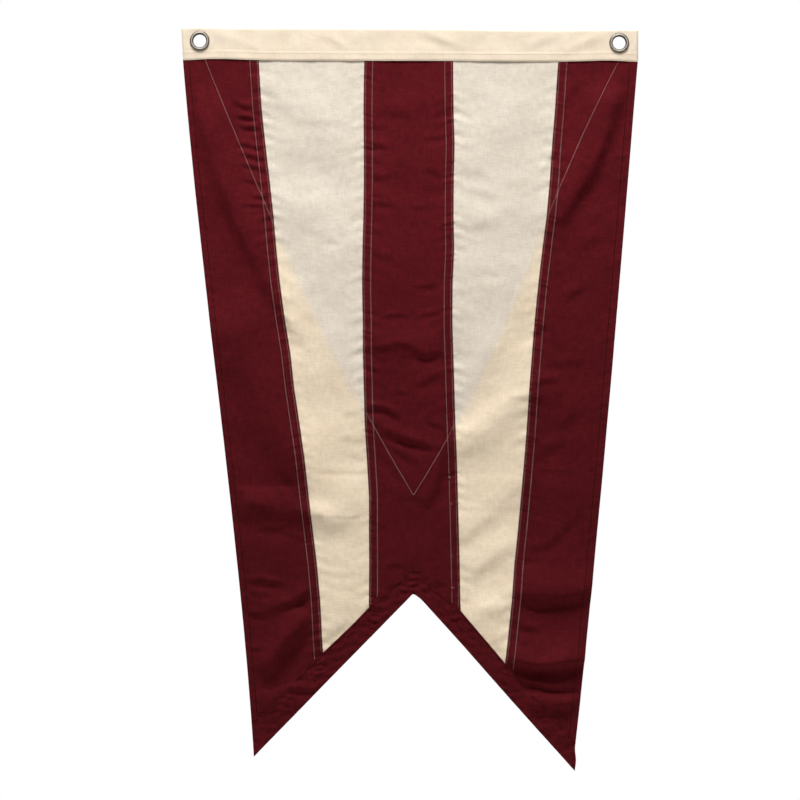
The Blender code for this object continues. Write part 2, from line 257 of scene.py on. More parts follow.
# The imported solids' folds
MAIN_FOLDS = folds_from(
    Profile.RIDGE,
    (-286, -60, -236, -240, -140, -420, 7.8, 30, 12), (276, -40, 250, -165, 170, -285, 8.2, 30, 11),
    (-262, -350, -203, -480, -110, -640, 8.5, 52, 30), (200, -452, 125, -512, 22, -582, 5.6, 20, 22),
    (172, -585, 110, -640, 48, -690, 2.4, 30, 13), (151, -675, 107, -703, 68, -731, 2.4, 18, 12),
    (158, -748, 122, -768, 72, -790, 2.2, 18, 12), (-250, -640, -160, -641, -75, -670, 6.8, 20, 16),
    (-129, -732, -166, -766, -204, -771, 3.6, 12, 9), (-136, -773, -168, -815, -203, -870, 8.6, 16, 14),
    (130, -746, 194, -752, 262, -744, 9, 26, 12), (118, -832, 185, -847, 250, -832, 11.8, 26, 8.8),
    (144, -866, 190, -874, 228, -872, 2.2, 10, 5), (150, -896, 190, -901, 228, -897, 4, 18, 10),
    (-56, -418, -4, -422, 52, -416, 3.4, 20, 10),
)

# Creases pressed into the cloth when it was packed, level across the stripes
PRESSED = folds_from(
    Profile.PRESS,
    (-146, -597, -100, -596, -46, -595, 1.7, 4, 18), (50, -594, 100, -594, 152, -593, 0.6, 4, 16),
    (156, -592, 200, -592, 246, -592, 0.7, 4, 12), (-240, -612, -190, -610, -142, -612, 1.7, 4, 14),
    (-214, -885, -180, -882, -152, -866, 2.6, 4, 9), (142, -882, 190, -888, 236, -888, 3, 4, 10),
    (150, -494, 110, -522, 60, -562, 0.5, 4, 18), (62, -768, 90, -766, 130, -756, 0.6, 4, 12),
)

# Smaller creases, placed one by one
CREASES = folds_from(
    Profile.CREASE,
    # Centre stripe
    (-42, -108, -14, -114, 14, -118, 1, 10, 10), (-54, -128, -42, -131, -26, -133, 0.8, 4, 4),
    (-54, -154, -42, -156, -22, -159, 1, 4.5, 4.5), (-54, -199, -40, -199, -16, -196, 0.9, 4.5, 4.5),
    (-54, -222, -42, -224, -26, -229, 0.8, 4, 4), (-55, -240, -38, -236, -14, -240, 1, 4.5, 4.5),
    (-58, -302, -38, -305, -12, -311, 1, 5, 5), (18, -150, 32, -148, 48, -146, 0.7, 4, 4),
    (14, -188, 28, -192, 46, -196, 0.7, 4, 4), (0, -243, 18, -240, 36, -240, 0.6, 4, 4),
    (4, -347, 23, -346, 43, -342, 0.9, 3.3, 3.9), (-53, -346, -43, -349, -29, -353, 0.68, 3.9, 4.4),
    (-39, -387, -20, -385, 0, -384, 0.82, 3.3, 3.9), (8, -388, 27, -383, 48, -378, 1.2, 3.9, 4.4),
    (-55, -424, -43, -426, -26, -425, 1.2, 4.4, 4.4), (-29, -423, -10, -422, 6, -429, 1, 4.4, 4.4),
    (2, -430, 23, -438, 48, -431, 2.3, 5.5, 5.5), (-48, -441, -39, -443, -29, -446, 0.52, 3.3, 3.3),
    (-59, -456, -49, -456, -40, -460, 0.82, 3.3, 3.3), (46, -460, 26, -470, 4, -480, 1.5, 5.5, 5.5),
    (-21, -485, -13, -487, -5, -491, 0.68, 3.3, 3.3), (-63, -511, -35, -508, -9, -526, 2.4, 3.9, 5),
    (-47, -531, -6, -549, 42, -560, 2.8, 5.8, 5.5), (-35, -556, -10, -571, 12, -584, 1.4, 4.4, 4.4),
    (23, -528, 35, -532, 47, -537, 0.9, 3.9, 3.9), (47, -556, 38, -612, 15, -645, 2.8, 9, 7),
    (-40, -566, -22, -588, -8, -606, 1.3, 6, 6), (-2, -629, 8, -628, 22, -630, 0.6, 3.3, 3.3),
    (-36, -719, -18, -718, 4, -721, 0.9, 4.4, 4.4), (27, -743, 40, -742, 54, -743, 1, 3.3, 3.3),
    # Cream, left
    (-198, -68, -179, -95, -148, -123, 0.37, 7.5, 8.9),
    (-150, -123, -117, -127, -77, -124, 0.31, 5.9, 7.5),
    (-196, -182, -190, -191, -178, -199, 0.42, 5.9, 5.9),
    (-166, -199, -155, -210, -146, -224, 0.42, 5.9, 5.9),
    (-150, -266, -134, -270, -116, -277, 0.31, 5.9, 5.9),
    (-113, -282, -103, -286, -89, -290, 0.37, 4.5, 4.5),
    (-176, -376, -161, -404, -140, -424, 1.7, 9.5, 9.5),
    (-91, -515, -77, -515, -60, -517, 0.54, 5.9, 5.9), (-96, -551, -80, -549, -57, -555, 0.4, 5.9, 5.9),
    (-85, -573, -72, -573, -57, -576, 0.37, 4.5, 4.5), (-138, -598, -100, -594, -57, -592, 0.48, 5.9, 12),
    (-131, -651, -120, -652, -105, -658, 0.37, 5.9, 5.9),
    (-132, -648, -110, -664, -70, -690, 0.6, 13, 13), (-129, -726, -99, -730, -59, -729, 0.3, 4.5, 4.5),
    (-123, -743, -93, -747, -63, -753, 0.31, 4.5, 4.5),
    (-122, -824, -101, -806, -79, -790, 1.1, 7.5, 6.5),
    # Cream, right
    (56, -132, 70, -136, 87, -143, 0.32, 6.6, 6.6), (56, -152, 70, -156, 90, -161, 0.32, 6.6, 6.6),
    (58, -188, 81, -191, 109, -196, 0.36, 6.6, 8.3), (68, -216, 94, -222, 125, -228, 0.54, 6.6, 8.3),
    (60, -272, 91, -264, 125, -263, 0.68, 8.3, 9.9), (56, -295, 67, -297, 82, -298, 0.32, 5, 5),
    (91, -325, 105, -327, 122, -331, 0.36, 5, 5), (56, -350, 70, -353, 87, -357, 0.36, 5.8, 5.8),
    (55, -377, 70, -381, 90, -386, 0.59, 6.6, 6.6), (59, -429, 70, -434, 82, -441, 0.4, 6.6, 6.6),
    (160, -378, 122, -427, 80, -496, 1.3, 14, 16), (131, -495, 145, -493, 162, -496, 0.32, 4.1, 4.1),
    (151, -635, 97, -668, 56, -699, 0.54, 6.6, 9.9), (137, -695, 110, -718, 75, -741, 0.63, 8.3, 8.3),
    (78, -774, 99, -775, 123, -771, 0.54, 6.6, 6.6), (114, -793, 122, -785, 133, -771, 0.82, 8.3, 8.3),
    (100, -806, 118, -826, 130, -850, 1.5, 9, 9),
    # Left stripe
    (-230, -50, -217, -68, -205, -86, 1.4, 6, 6), (-240, -94, -224, -102, -204, -107, 1, 3.6, 3.6),
    (-224, -202, -209, -206, -190, -210, 0.9, 3, 3), (-215, -221, -203, -224, -189, -226, 0.9, 3, 3),
    (-235, -117, -219, -120, -202, -124, 1.3, 3.3, 3.3),
    (-232, -133, -216, -133, -198, -136, 1.3, 3.3, 3.3),
    (-230, -152, -214, -156, -196, -159, 1.3, 3.3, 3.3),
    (-227, -165, -211, -171, -194, -175, 1.3, 3.3, 3.3),
    (-223, -182, -208, -186, -191, -191, 1.3, 3.3, 3.3),
    (-227, -236, -208, -237, -188, -238, 1, 2.8, 2.8), (-220, -739, -190, -741, -158, -747, 1.7, 4.4, 5),
    (-214, -754, -200, -755, -184, -757, 0.68, 3.3, 3.3),
    (-131, -745, -151, -763, -175, -779, 2, 6.6, 5.5),
    (-219, -778, -203, -785, -184, -782, 1.2, 4.4, 4.4),
    (-174, -590, -166, -600, -155, -612, 1, 6.6, 6.6),
    (-167, -644, -155, -646, -142, -646, 0.68, 3.3, 3.3),
    (-174, -674, -155, -678, -138, -687, 0.85, 3.3, 3.9),
    (-136, -792, -160, -826, -198, -878, 3, 9.9, 8.8), (-222, -636, -200, -640, -176, -648, 1, 5, 5),
    (-205, -664, -186, -668, -150, -664, 1.2, 5, 6), (-212, -828, -204, -829, -194, -830, 1, 3.3, 3.3),
    (-166, -884, -144, -884, -121, -884, 2.2, 3.9, 3.9),
    # Right stripe
    (209, -108, 218, -88, 229, -60, 1.4, 5.5, 5.5), (178, -192, 188, -175, 198, -160, 1.1, 4.4, 4.4),
    (228, -299, 244, -287, 262, -278, 0.9, 6.6, 6.6), (204, -366, 220, -354, 238, -345, 1.1, 6.6, 6.6),
    (159, -409, 171, -404, 188, -396, 1.1, 4.4, 4.4), (174, -450, 201, -448, 244, -445, 0.68, 5.5, 5.5),
    (165, -472, 182, -473, 204, -470, 1, 3.9, 3.9), (193, -536, 212, -525, 230, -513, 1.4, 8.8, 8.8),
    (165, -577, 188, -563, 212, -548, 1.1, 7.7, 7.7), (169, -591, 196, -592, 225, -592, 0.68, 2.8, 6.6),
    (151, -694, 189, -687, 236, -636, 1.4, 6.6, 6.6), (149, -711, 163, -710, 182, -707, 0.9, 4.4, 4.4),
    (147, -763, 181, -769, 240, -757, 2.6, 5.5, 5.5), (143, -801, 158, -804, 177, -802, 1.5, 4.4, 4.4),
    (143, -821, 151, -822, 162, -821, 0.9, 3.3, 3.3), (130, -842, 180, -855, 232, -841, 3.4, 6.2, 6.2),
    (138, -868, 181, -880, 228, -882, 2.4, 3.4, 3.5), (188, -909, 202, -908, 224, -900, 2.2, 4.4, 5.5),
    (150, -930, 172, -940, 196, -936, 1.6, 6, 6), (189, -961, 204, -953, 221, -947, 1.4, 8.8, 8.8),
    # Notch and mitre
    (-8, -733, 2, -735, 12, -733, 1.1, 2.8, 2.8), (-9, -741, 2, -743, 14, -741, 1.1, 2.8, 2.8),
    (-8, -750, 3, -751, 12, -749, 0.88, 2.8, 2.8), (-18, -747, -10, -750, -1, -751, 0.88, 2.8, 2.8),
    (18, -753, 24, -748, 32, -742, 1.1, 3.3, 3.3), (42, -775, 48, -779, 55, -786, 1.1, 3.9, 3.9),
)


@dataclass(frozen=True)
class Pattern:
    """Where the flag's seams, edges and sewn lines run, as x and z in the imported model.

    The six seams count the two outer edges, which have hems. pulls are the centre, the lift and the reach to
    either side of each place where an eyelet draws the heading's lower edge up. wanders_mm is how far each
    inner seam strays from its smooth line at the wander_heights.
    """

    seam_heights: tuple[float, ...] = (-0.045, -0.350, -0.660, -0.960)
    seams: tuple[tuple[float, ...], ...] = (
        (-0.3029, -0.2719, -0.2364, -0.2098),
        (-0.2019, -0.1711, -0.1308, -0.1105),
        (-0.0598, -0.0618, -0.0552, -0.0520),
        (0.0573, 0.0581, 0.0645, 0.0775),
        (0.1992, 0.1728, 0.1454, 0.1216),
        (0.3045, 0.2792, 0.2516, 0.2204),
    )
    wander_heights: tuple[float, ...] = (
        -0.850, -0.815, -0.765, -0.715, -0.670, -0.625, -0.575, -0.530, -0.480,
        -0.435, -0.390, -0.340, -0.295, -0.250, -0.200, -0.155, -0.110, -0.060,
    )
    wanders_mm: tuple[tuple[float, ...], ...] = (
        (-1.0, -1.2, 0.4, 0.6, 0.0, 0.0, 0.8, 0.2, -0.7,
         0.5, -0.7, -0.9, -0.1, 1.5, 1.5, 0.6, -0.3, 0.0),
        (-1.5, -1.5, -1.5, -0.2, 0.5, 1.6, -0.1, -1.8, -2.0,
         -2.1, -1.5, -1.7, -0.6, 0.8, 1.4, 0.9, -0.2, -0.9),
        (-0.6, -0.6, -0.8, 0.2, 0.6, 0.7, 0.7, -0.2, -0.6,
         -1.2, -1.9, -1.0, 1.5, 0.9, 1.5, 2.7, 1.3, 0.6),
        (-3.0, -1.5, -0.4, -1.0, 0.1, 0.2, 0.3, -0.2, -1.7,
         -2.0, -2.4, -1.9, -0.6, 1.0, 1.2, 0.3, 0.2, -0.7),
    )
    red_side: tuple[int, ...] = (1, -1, 1, -1, 1, -1)
    notch: Point = (0.0053, -0.7555)
    tip_left: Point = (-0.2102, -0.9752)
    tip_right: Point = (0.2204, -0.9912)
    tail_line: tuple[Point, ...] = (
        (-0.2102, -0.9752), (-0.1094, -0.8713), (-0.0024, -0.7615), (0.0034, -0.7553), (0.0068, -0.7559),
        (0.0136, -0.7606), (0.0190, -0.7660), (0.0725, -0.8252), (0.1367, -0.8980), (0.2204, -0.9912),
    )
    facing_line: tuple[Point, ...] = (
        (-0.2118, -0.9267), (-0.1174, -0.8356), (-0.0800, -0.7998), (-0.0552, -0.7743),
        (0.0010, -0.7232), (0.0032, -0.7220), (0.0128, -0.7222), (0.0190, -0.7340),
        (0.0324, -0.7494), (0.0672, -0.7768), (0.1273, -0.8477), (0.2209, -0.9530),
    )
    kink_from: float = -0.958
    kink_to: float = -0.980
    kink: float = 0.0034
    heading_left: float = -0.3054
    heading_right: float = 0.3053
    top_line: tuple[Point, ...] = (
        (-0.3054, 0.0019), (-0.2670, 0.0020), (-0.2250, 0.0012), (-0.1100, 0.0006), (0.0000, -0.0001),
        (0.0600, -0.0007), (0.1100, -0.0014), (0.1500, -0.0017), (0.2000, -0.0017), (0.2500, -0.0013),
        (0.3053, -0.0008),
    )
    heading_depth: float = 0.0428
    heading_lower_fall: float = 0.0036
    pulls: tuple[tuple[float, float, float, float], ...] = (
        (-0.2620, 0.0021, 0.0260, 0.0540),
        (0.2660, 0.0018, 0.0400, 0.0260),
    )
    stitched: tuple[float, ...] = (0.0080, 0.0118, 0.0112, 0.0111, 0.0116, 0.0100)
    fold_beyond: float = 0.0007
    patch_heights_left: tuple[float, ...] = (-0.0420, -0.2570, -0.5090, -0.6285)
    patch_left: tuple[float, ...] = (-0.2770, -0.1862, -0.0640, 0.0049)
    patch_heights_right: tuple[float, ...] = (-0.0435, -0.2530, -0.5290, -0.6285)
    patch_right: tuple[float, ...] = (0.2823, 0.1865, 0.0635, 0.0049)
    row_heights_left: tuple[float, ...] = (-0.0411, -0.2570, -0.5079, -0.6228)
    row_left: tuple[float, ...] = (-0.2736, -0.1830, -0.0606, 0.0049)
    row_heights_right: tuple[float, ...] = (-0.0437, -0.2524, -0.5280, -0.6228)
    row_right: tuple[float, ...] = (0.2789, 0.1833, 0.0601, 0.0049)

    @property
    def last(self) -> int:
        """Return the number of the right edge."""
        return len(self.seams) - 1

    def is_edge(self, index: int) -> bool:
        """Say whether a seam line is one of the two outer edges."""
        return index in (0, self.last)

    def seam(self, index: int, z: Array) -> Array:
        """Work out where a seam runs, as uneven as it was sewn, with the kink of the right tail's tip.

        Args:
            index: The seam's number, from the left edge.
            z: Heights.

        Returns:
            The seam's x at each height.
        """
        x = through_points(self.seam_heights, self.seams[index], z)
        if not self.is_edge(index):
            x = x + np.interp(z, self.wander_heights, self.wanders_mm[index - 1]) / MM_PER_METRE
        if index == self.last:
            x = x + self.kink * smooth_step((self.kink_from - z) / (self.kink_from - self.kink_to))
        return x

    def cut_edge(self, x: Array) -> Array:
        """Return the height of the swallow tail's edge at each x."""
        return along_line(self.tail_line, x)

    def facing_z(self, x: Array) -> Array:
        """Return the height of the facings' inner line at each x."""
        return along_line(self.facing_line, x)

    def lap(self, index: int) -> float:
        """Return the width of a seam's lap or a hem, to its folded edge just beyond the stitching."""
        return self.stitched[index] + self.fold_beyond

    def heading_top(self, x: Array) -> Array:
        """Return the height of the heading's folded edge at each x."""
        return along_line(self.top_line, x)

    def heading_lower(self, x: Array) -> Array:
        """Work out where the heading's lower edge runs, drawn up a little by the eyelets.

        Args:
            x: Places across the flag.

        Returns:
            The edge's height at each place.
        """
        z = -self.heading_depth - self.heading_lower_fall * x
        for centre, lift, left, right in self.pulls:
            z = z + lift * np.exp(-(((x - centre) / np.where(x < centre, left, right)) ** 2))
        return z

    def patch_span(self, z: Array) -> tuple[Array, Array]:
        """Return the patch's left and right edges at each height."""
        left = through_points(self.patch_heights_left, self.patch_left, z)
        return left, through_points(self.patch_heights_right, self.patch_right, z)

    def inside_patch(self, x: Array, z: Array, soft: float) -> Array:
        """Find the points that the patch lies behind.

        Args:
            x: Where the points lie across the flag.
            z: Their heights.
            soft: The width in which the result eases from one to the other.

        Returns:
            1 at points with the patch behind them, 0 at the others.
        """
        tip = min(self.patch_heights_left)
        left, right = self.patch_span(np.maximum(z, tip))
        inside = np.minimum(x - left, right - x) / soft + 0.5
        return smooth_step(inside) * (z > tip)


@dataclass(frozen=True)
class Hang:
    """How the cloth hangs: the middle surface that every ply follows.

    It is the sum of a belly, the swing of the two tails, the folds and creases, a slow drift, a fine crumple
    and the puckers of the sewing. They all fade out at the heading, which bows a little between its eyelets.
    """

    pattern: Pattern
    bow: float = 0.0035
    bow_ripple: float = 0.0010
    ripple_waves: float = 2.5
    flat_from: float = 0.2600
    fade_in: float = 0.060
    pucker_fade: float = 0.014
    clear_of_heading: float = 0.0010
    belly: float = 0.0085
    belly_centre: Point = (0.010, -0.360)
    belly_reach: Point = (0.190, 0.230)
    swing_left: float = 0.0110
    swing_right: float = -0.0060
    swing_from: float = -0.640
    swing_spread: float = 0.120
    drift: Ripple = field(default_factory=lambda: Ripple(11, 0.050, 0.160, 1.6))
    drift_depth: float = 0.0006
    crumple: Ripple = field(default_factory=lambda: Ripple(12, 0.014, 0.040, 1.4, 34))
    crumple_depth: float = 0.00010
    warp: Ripple = field(default_factory=lambda: Ripple(13, 0.018, 0.060, 1.0, 20))
    waviness: float = 0.0009
    fine_seed: int = 30
    fine_pitch: float = 0.0076
    fine_depth: float = 0.00032
    fine_reach: float = 0.0018
    fine_slant: float = 0.25
    wide_seed: int = 50
    wide_pitch: float = 0.0205
    wide_depth: float = 0.00026
    wide_reach: float = 0.0150
    wide_slant: float = 0.35
    hem_share: float = 0.35
    wrinkle: Ripple = field(default_factory=lambda: Ripple(14, 0.0062, 0.0150, 2.6, 44))
    facing_depth: float = 0.00032
    facing_ease: float = 0.003
    lap_depth: float = 0.00005

    def heading_y(self, x: Array) -> Array:
        """Work out how far the heading stands off its eyelets' plane.

        Args:
            x: Places along the heading.

        Returns:
            y at each place.
        """
        inside = np.clip(1.0 - (x / self.flat_from) ** 2, 0.0, 1.0)
        ripple = np.sin(math.pi * self.ripple_waves * x / self.flat_from)
        return -(self.bow + self.bow_ripple * ripple) * inside**2

    def puckers(self, x: Array, z: Array) -> Array:
        """Work out the puckers that stitching draws into the cloth, along the seams, hems and facings.

        Args:
            x: Where the points lie across the flag.
            z: Their heights.

        Returns:
            The puckers' height at each point.
        """
        wrinkle = self.wrinkle.at(x, z)
        total = np.zeros_like(x, dtype=float)
        for i, side in enumerate(self.pattern.red_side):
            inward = (x - self.pattern.seam(i, z)) * side
            fine = Waver(self.fine_seed + i, self.fine_pitch).at(z + self.fine_slant * inward)
            wide = Waver(self.wide_seed + i, self.wide_pitch).at(z + self.wide_slant * np.abs(inward))
            beyond = np.maximum(np.maximum(inward - self.pattern.lap(i), -inward), 0.0)
            share = self.hem_share if self.pattern.is_edge(i) else 1.0
            close = share * np.exp(-((beyond / self.fine_reach) ** 2))
            total = total + (self.fine_depth * fine + self.lap_depth * wrinkle) * close
            total = total + share * self.wide_depth * wide * np.exp(-((beyond / self.wide_reach) ** 2))
        band = smooth_step((self.pattern.facing_z(x) - z) / self.facing_ease + 1.0)
        return total + self.facing_depth * band * wrinkle

    def y(self, x: Array, z: Array) -> Array:
        """Return the y of the cloth's middle surface.

        Args:
            x: Where the points lie across the flag.
            z: Their heights.

        Returns:
            y at each point, folds, creases and puckers included.
        """
        reach = ((x - self.belly_centre[0]) / self.belly_reach[0]) ** 2
        reach = reach + ((z - self.belly_centre[1]) / self.belly_reach[1]) ** 2
        hang = -self.belly * np.exp(-reach)
        drop = smooth_step((self.swing_from - z) / (self.swing_from - self.pattern.tip_right[1]))
        aside = (x - self.pattern.notch[0]) / self.swing_spread
        swing = self.swing_left * smooth_step(-aside) + self.swing_right * smooth_step(aside)
        folds = hang + drop * swing - self.drift_depth * self.drift.at(x, z)
        wavy_x = x + self.waviness * self.warp.at(x, z)
        wavy_z = z + self.waviness * self.warp.at(z, x)
        for fold in MAIN_FOLDS + PRESSED + CREASES:
            folds = folds + fold.offset(wavy_x, wavy_z)
        below = self.pattern.heading_lower(x) - self.clear_of_heading - z
        free = smooth_step(below / self.fade_in)
        close = smooth_step(below / self.pucker_fade)
        fine = self.puckers(x, z) - self.crumple_depth * self.crumple.at(x, z)
        return self.heading_y(x) + free * folds + close * fine


class Face(Enum):
    """The two faces of the flag, as the sign of y that points away from the cloth."""

    FRONT = -1
    BACK = 1


@dataclass(frozen=True)
class Plies:
    """The thickness of the cloth and how its layers lie over each other."""

    pattern: Pattern
    hang: Hang
    half: float = 0.00030
    lap_raise: float = 0.00042
    hem_raise: float = 0.00036
    shoulder: float = 0.0012
    under: float = 0.0125
    under_front: float = 0.00005
    under_back: float = 0.00065
    bridge: float = 0.0030
    facing_gap: float = 0.00010
    facing_thick: float = 0.00070
    facing_fold: float = 0.00022
    patch_near: float = 0.00110
    slot_near: float = 0.00045
    patch_ease: float = 0.0120
    patch_thick: float = 0.00050
    slack: float = 1e-6

    def raised(self, index: int) -> float:
        """Return how far a seam's lap or a hem stands out."""
        return self.hem_raise if self.pattern.is_edge(index) else self.lap_raise

    def inward(self, index: int, x: Array, z: Array) -> Array:
        """Return the distance from a seam line into the red cloth, negative on the other side."""
        return (x - self.pattern.seam(index, z)) * self.pattern.red_side[index]

    def lapped(self, index: int, x: Array, z: Array) -> Array:
        """Return 1 on the lap of a seam or hem, easing to 0 over a shoulder, and 0 beyond the seam line."""
        inward = self.inward(index, x, z)
        return (1.0 - self.past_lap(index, inward)) * (inward > -self.slack)

    def past_lap(self, index: int, inward: Array) -> Array:
        """Return 0 up to the folded edge of a lap or hem, easing to 1 over its shoulder."""
        return smooth_step((inward - self.pattern.lap(index)) / self.shoulder)

    def front(self, x: Array, z: Array) -> Array:
        """Work out the stripes' front face, laps and hems included.

        Args:
            x: Where the points lie across the flag.
            z: Their heights.

        Returns:
            y at each point.
        """
        y = self.hang.y(x, z) - self.half
        for i in range(self.pattern.last + 1):
            y = y - self.raised(i) * self.lapped(i, x, z)
        return y

    def back(self, x: Array, z: Array) -> Array:
        """Work out the stripes' back face, with the creams' folded edges behind the seams.

        Args:
            x: Where the points lie across the flag.
            z: Their heights.

        Returns:
            y at each point.
        """
        y = self.hang.y(x, z) + self.half
        for i in range(1, self.pattern.last):
            inward = self.inward(i, x, z)
            y = y + (self.under_back - self.half) * ((inward > 0) & (inward < self.under))
        return y

    def patch_front(self, x: Array, z: Array) -> Array:
        """Return y of the patch's face on the stripes, drawn in to them under the heading."""
        eased = smooth_step((self.pattern.heading_lower(x) - z) / self.patch_ease)
        return self.hang.y(x, z) + self.slot_near + (self.patch_near - self.slot_near) * eased

    def patch_back(self, x: Array, z: Array) -> Array:
        """Return y of the patch's outer face."""
        return self.patch_front(x, z) + self.patch_thick

    def facing_front(self, x: Array, z: Array) -> Array:
        """Return y of the facings' outer face."""
        return self.facing_back(x, z) - self.facing_thick

    def facing_back(self, x: Array, z: Array) -> Array:
        """Work out the facings' inner face, which bridges the seams beneath.

        Args:
            x: Where the points lie across the flag.
            z: Their heights.

        Returns:
            y at each point.
        """
        y = self.hang.y(x, z) - self.half - self.facing_gap
        for i in range(self.pattern.last + 1):
            inward = self.inward(i, x, z)
            before = smooth_step(inward / self.bridge + 1.0)
            after = 1.0 - smooth_step((inward - self.pattern.lap(i)) / self.bridge)
            y = y - self.raised(i) * before * after
        return y


@dataclass
class Grid:
    """A sheet of cloth as rows and columns of points, each with a front and a back.

    laid gives each point's place on the cloth before it was hung, for the weave. backed is 1 where the
    patch lies behind. back_z is the height of the back's points where it isn't the front's.
    """

    x: Array
    z: Array
    front: Array
    back: Array
    laid: Array
    backed: Array
    back_z: Array | None = None

    def rim(self) -> tuple[Array, Array]:
        """Find the grid's border.

        Returns:
            The indices of the points round it, and of the points one step inside them.
        """
        rows, columns = self.x.shape
        index = np.arange(rows * columns).reshape(rows, columns)
        border = np.concatenate((index[0, :-1], index[:-1, -1], index[-1, :0:-1], index[:0:-1, 0]))
        inner = np.concatenate((index[1, :-1], index[:-1, -2], index[-2, :0:-1], index[:0:-1, 1]))
        return border, inner


def add_mesh(name: str, vertices: Array, faces: Sequence[Sequence[int]]) -> bpy.types.Object:
    """Make a smooth-shaded object from points and faces.

    Args:
        name: The object's name.
        vertices: One row of x, y and z for each point.
        faces: The point indices of each face.

    Returns:
        The object, linked to the scene.
    """
    mesh = bpy.data.meshes.new(name)
    mesh.from_pydata(vertices, [], faces)
    mesh.shade_smooth()
    mesh.update()
    obj = bpy.data.objects.new(name, mesh)
    bpy.context.scene.collection.objects.link(obj)
    return obj


def sheet_mesh(name: str, grid: Grid, bulge: float = 0.25) -> bpy.types.Object:
    """Close a grid's front and back into one thin body with a rounded rim.

    Args:
        name: The object's name.
        grid: The sheet's points.
        bulge: How far the rim stands out, as a share of the sheet's thickness.

    Returns:
        The object, with the point attributes laid and backed.
    """
    rows, columns = grid.x.shape
    front = np.stack((grid.x, grid.front, grid.z), axis=-1).reshape(-1, 3)
    back_z = grid.z if grid.back_z is None else grid.back_z
    back = np.stack((grid.x, grid.back, back_z), axis=-1).reshape(-1, 3)
    border, inner = grid.rim()
    middle = (front[border] + back[border]) / 2.0
    outward = middle - (front[inner] + back[inner]) / 2.0
    outward /= np.linalg.norm(outward, axis=1)[:, None] + TINY
    thick = np.linalg.norm(front[border] - back[border], axis=1)[:, None]
    middle = middle + outward * thick * bulge
    vertices = np.concatenate((front, back, middle))
    total, count = rows * columns, len(border)
    index = np.arange(total).reshape(rows, columns)
    a, b, d, e = index[:-1, :-1], index[1:, :-1], index[1:, 1:], index[:-1, 1:]
    fronts = np.stack((a, b, d, e), axis=-1).reshape(-1, 4)
    backs = np.stack((a, e, d, b), axis=-1).reshape(-1, 4) + total
    here, there = np.arange(count), (np.arange(count) + 1) % count
    near = np.stack((border[here], border[there], 2 * total + there, 2 * total + here), axis=-1)
    ends = total + border[there], total + border[here]
    far = np.stack((2 * total + here, 2 * total + there, *ends), axis=-1)
    faces = np.concatenate((fronts, backs, near, far))
    obj = add_mesh(name, vertices, faces.tolist())
    laid = grid.laid.reshape(-1, 2)
    laid = np.concatenate((laid, laid, laid[border]))
    put_attribute(obj, "laid", np.column_stack((laid, np.zeros(len(laid)))))
    backed = grid.backed.reshape(-1)
    put_attribute(obj, "backed", np.concatenate((backed, backed, backed[border])))
    return obj


def put_attribute(obj: bpy.types.Object, name: str, values: Array) -> None:
    """Store one number or one vector for each point of an object's mesh.

    Args:
        obj: The object.
        name: The attribute's name.
        values: A column of numbers, or rows of three.
    """
    kind, key = ("FLOAT_VECTOR", "vector") if values.ndim == 2 else ("FLOAT", "value")
    attribute = obj.data.attributes.new(name, kind, "POINT")
    attribute.data.foreach_set(key, values.astype(np.float32).ravel())


def turned_mesh(
    name: str, profile: Sequence[Sequence[float]], centre: Point, sides: int
) -> bpy.types.Object:
    """Turn a closed profile about the axis along Y.

    Args:
        name: The object's name.
        profile: Points of radius, y and wear, which goes into the point attribute wear.
        centre: The axis, as x and z.
        sides: Steps round the axis.

    Returns:
        The turned object.
    """
    angles = 2.0 * math.pi * np.arange(sides) / sides
    radius, depth, wear = np.array(profile).T
    x = centre[0] + np.outer(np.cos(angles), radius)
    z = centre[1] + np.outer(np.sin(angles), radius)
    y = np.broadcast_to(depth, x.shape)
    count = len(profile)
    faces = []
    for side in range(sides):
        here, there = side * count, (side + 1) % sides * count
        for i in range(count):
            j = (i + 1) % count
            faces.append((here + i, here + j, there + j, there + i))
    obj = add_mesh(name, np.stack((x, y, z), axis=-1).reshape(-1, 3), faces)
    put_attribute(obj, "wear", np.tile(wear, sides))
    return obj


class Wire:
    """An output socket in a material's nodes, so that shader maths reads as plain expressions."""

    def __init__(self, bench: "NodeBench", socket: bpy.types.NodeSocket) -> None:
        """Hold a socket and the bench that its nodes are on."""
        self.bench = bench
        self.socket = socket

    def math(self, operation: str, first: "Wire | float", second: "Wire | float" = 0.0) -> "Wire":
        """Add a Math node on two values and return its result."""
        return self.bench.node("ShaderNodeMath", {"operation": operation}, {0: first, 1: second})

    def __add__(self, other: "Wire | float") -> "Wire":
        """Add."""
        return self.math("ADD", self, other)

    def __sub__(self, other: "Wire | float") -> "Wire":
        """Subtract."""
        return self.math("SUBTRACT", self, other)

    def __rsub__(self, other: "Wire | float") -> "Wire":
        """Subtract from a number."""
        return self.math("SUBTRACT", other, self)

    def __mul__(self, other: "Wire | float") -> "Wire":
        """Multiply."""
        return self.math("MULTIPLY", self, other)

    __radd__ = __add__
    __rmul__ = __mul__

    def sine(self) -> "Wire":
        """Return the sine."""
        return self.math("SINE", self)

    def eased(self, low: float, high: float) -> "Wire":
        """Ease from 0 to 1 as the value goes from low to high."""
        settings = {"interpolation_type": "SMOOTHSTEP"}
        return self.bench.node("ShaderNodeMapRange", settings, {0: self, 1: low, 2: high, 3: 0.0, 4: 1.0})

    def scaled(self, factors: Triple) -> "Wire":
        """Multiply a vector by three factors."""
        settings = {"operation": "MULTIPLY"}
        return self.bench.node("ShaderNodeVectorMath", settings, {0: self, 1: factors})


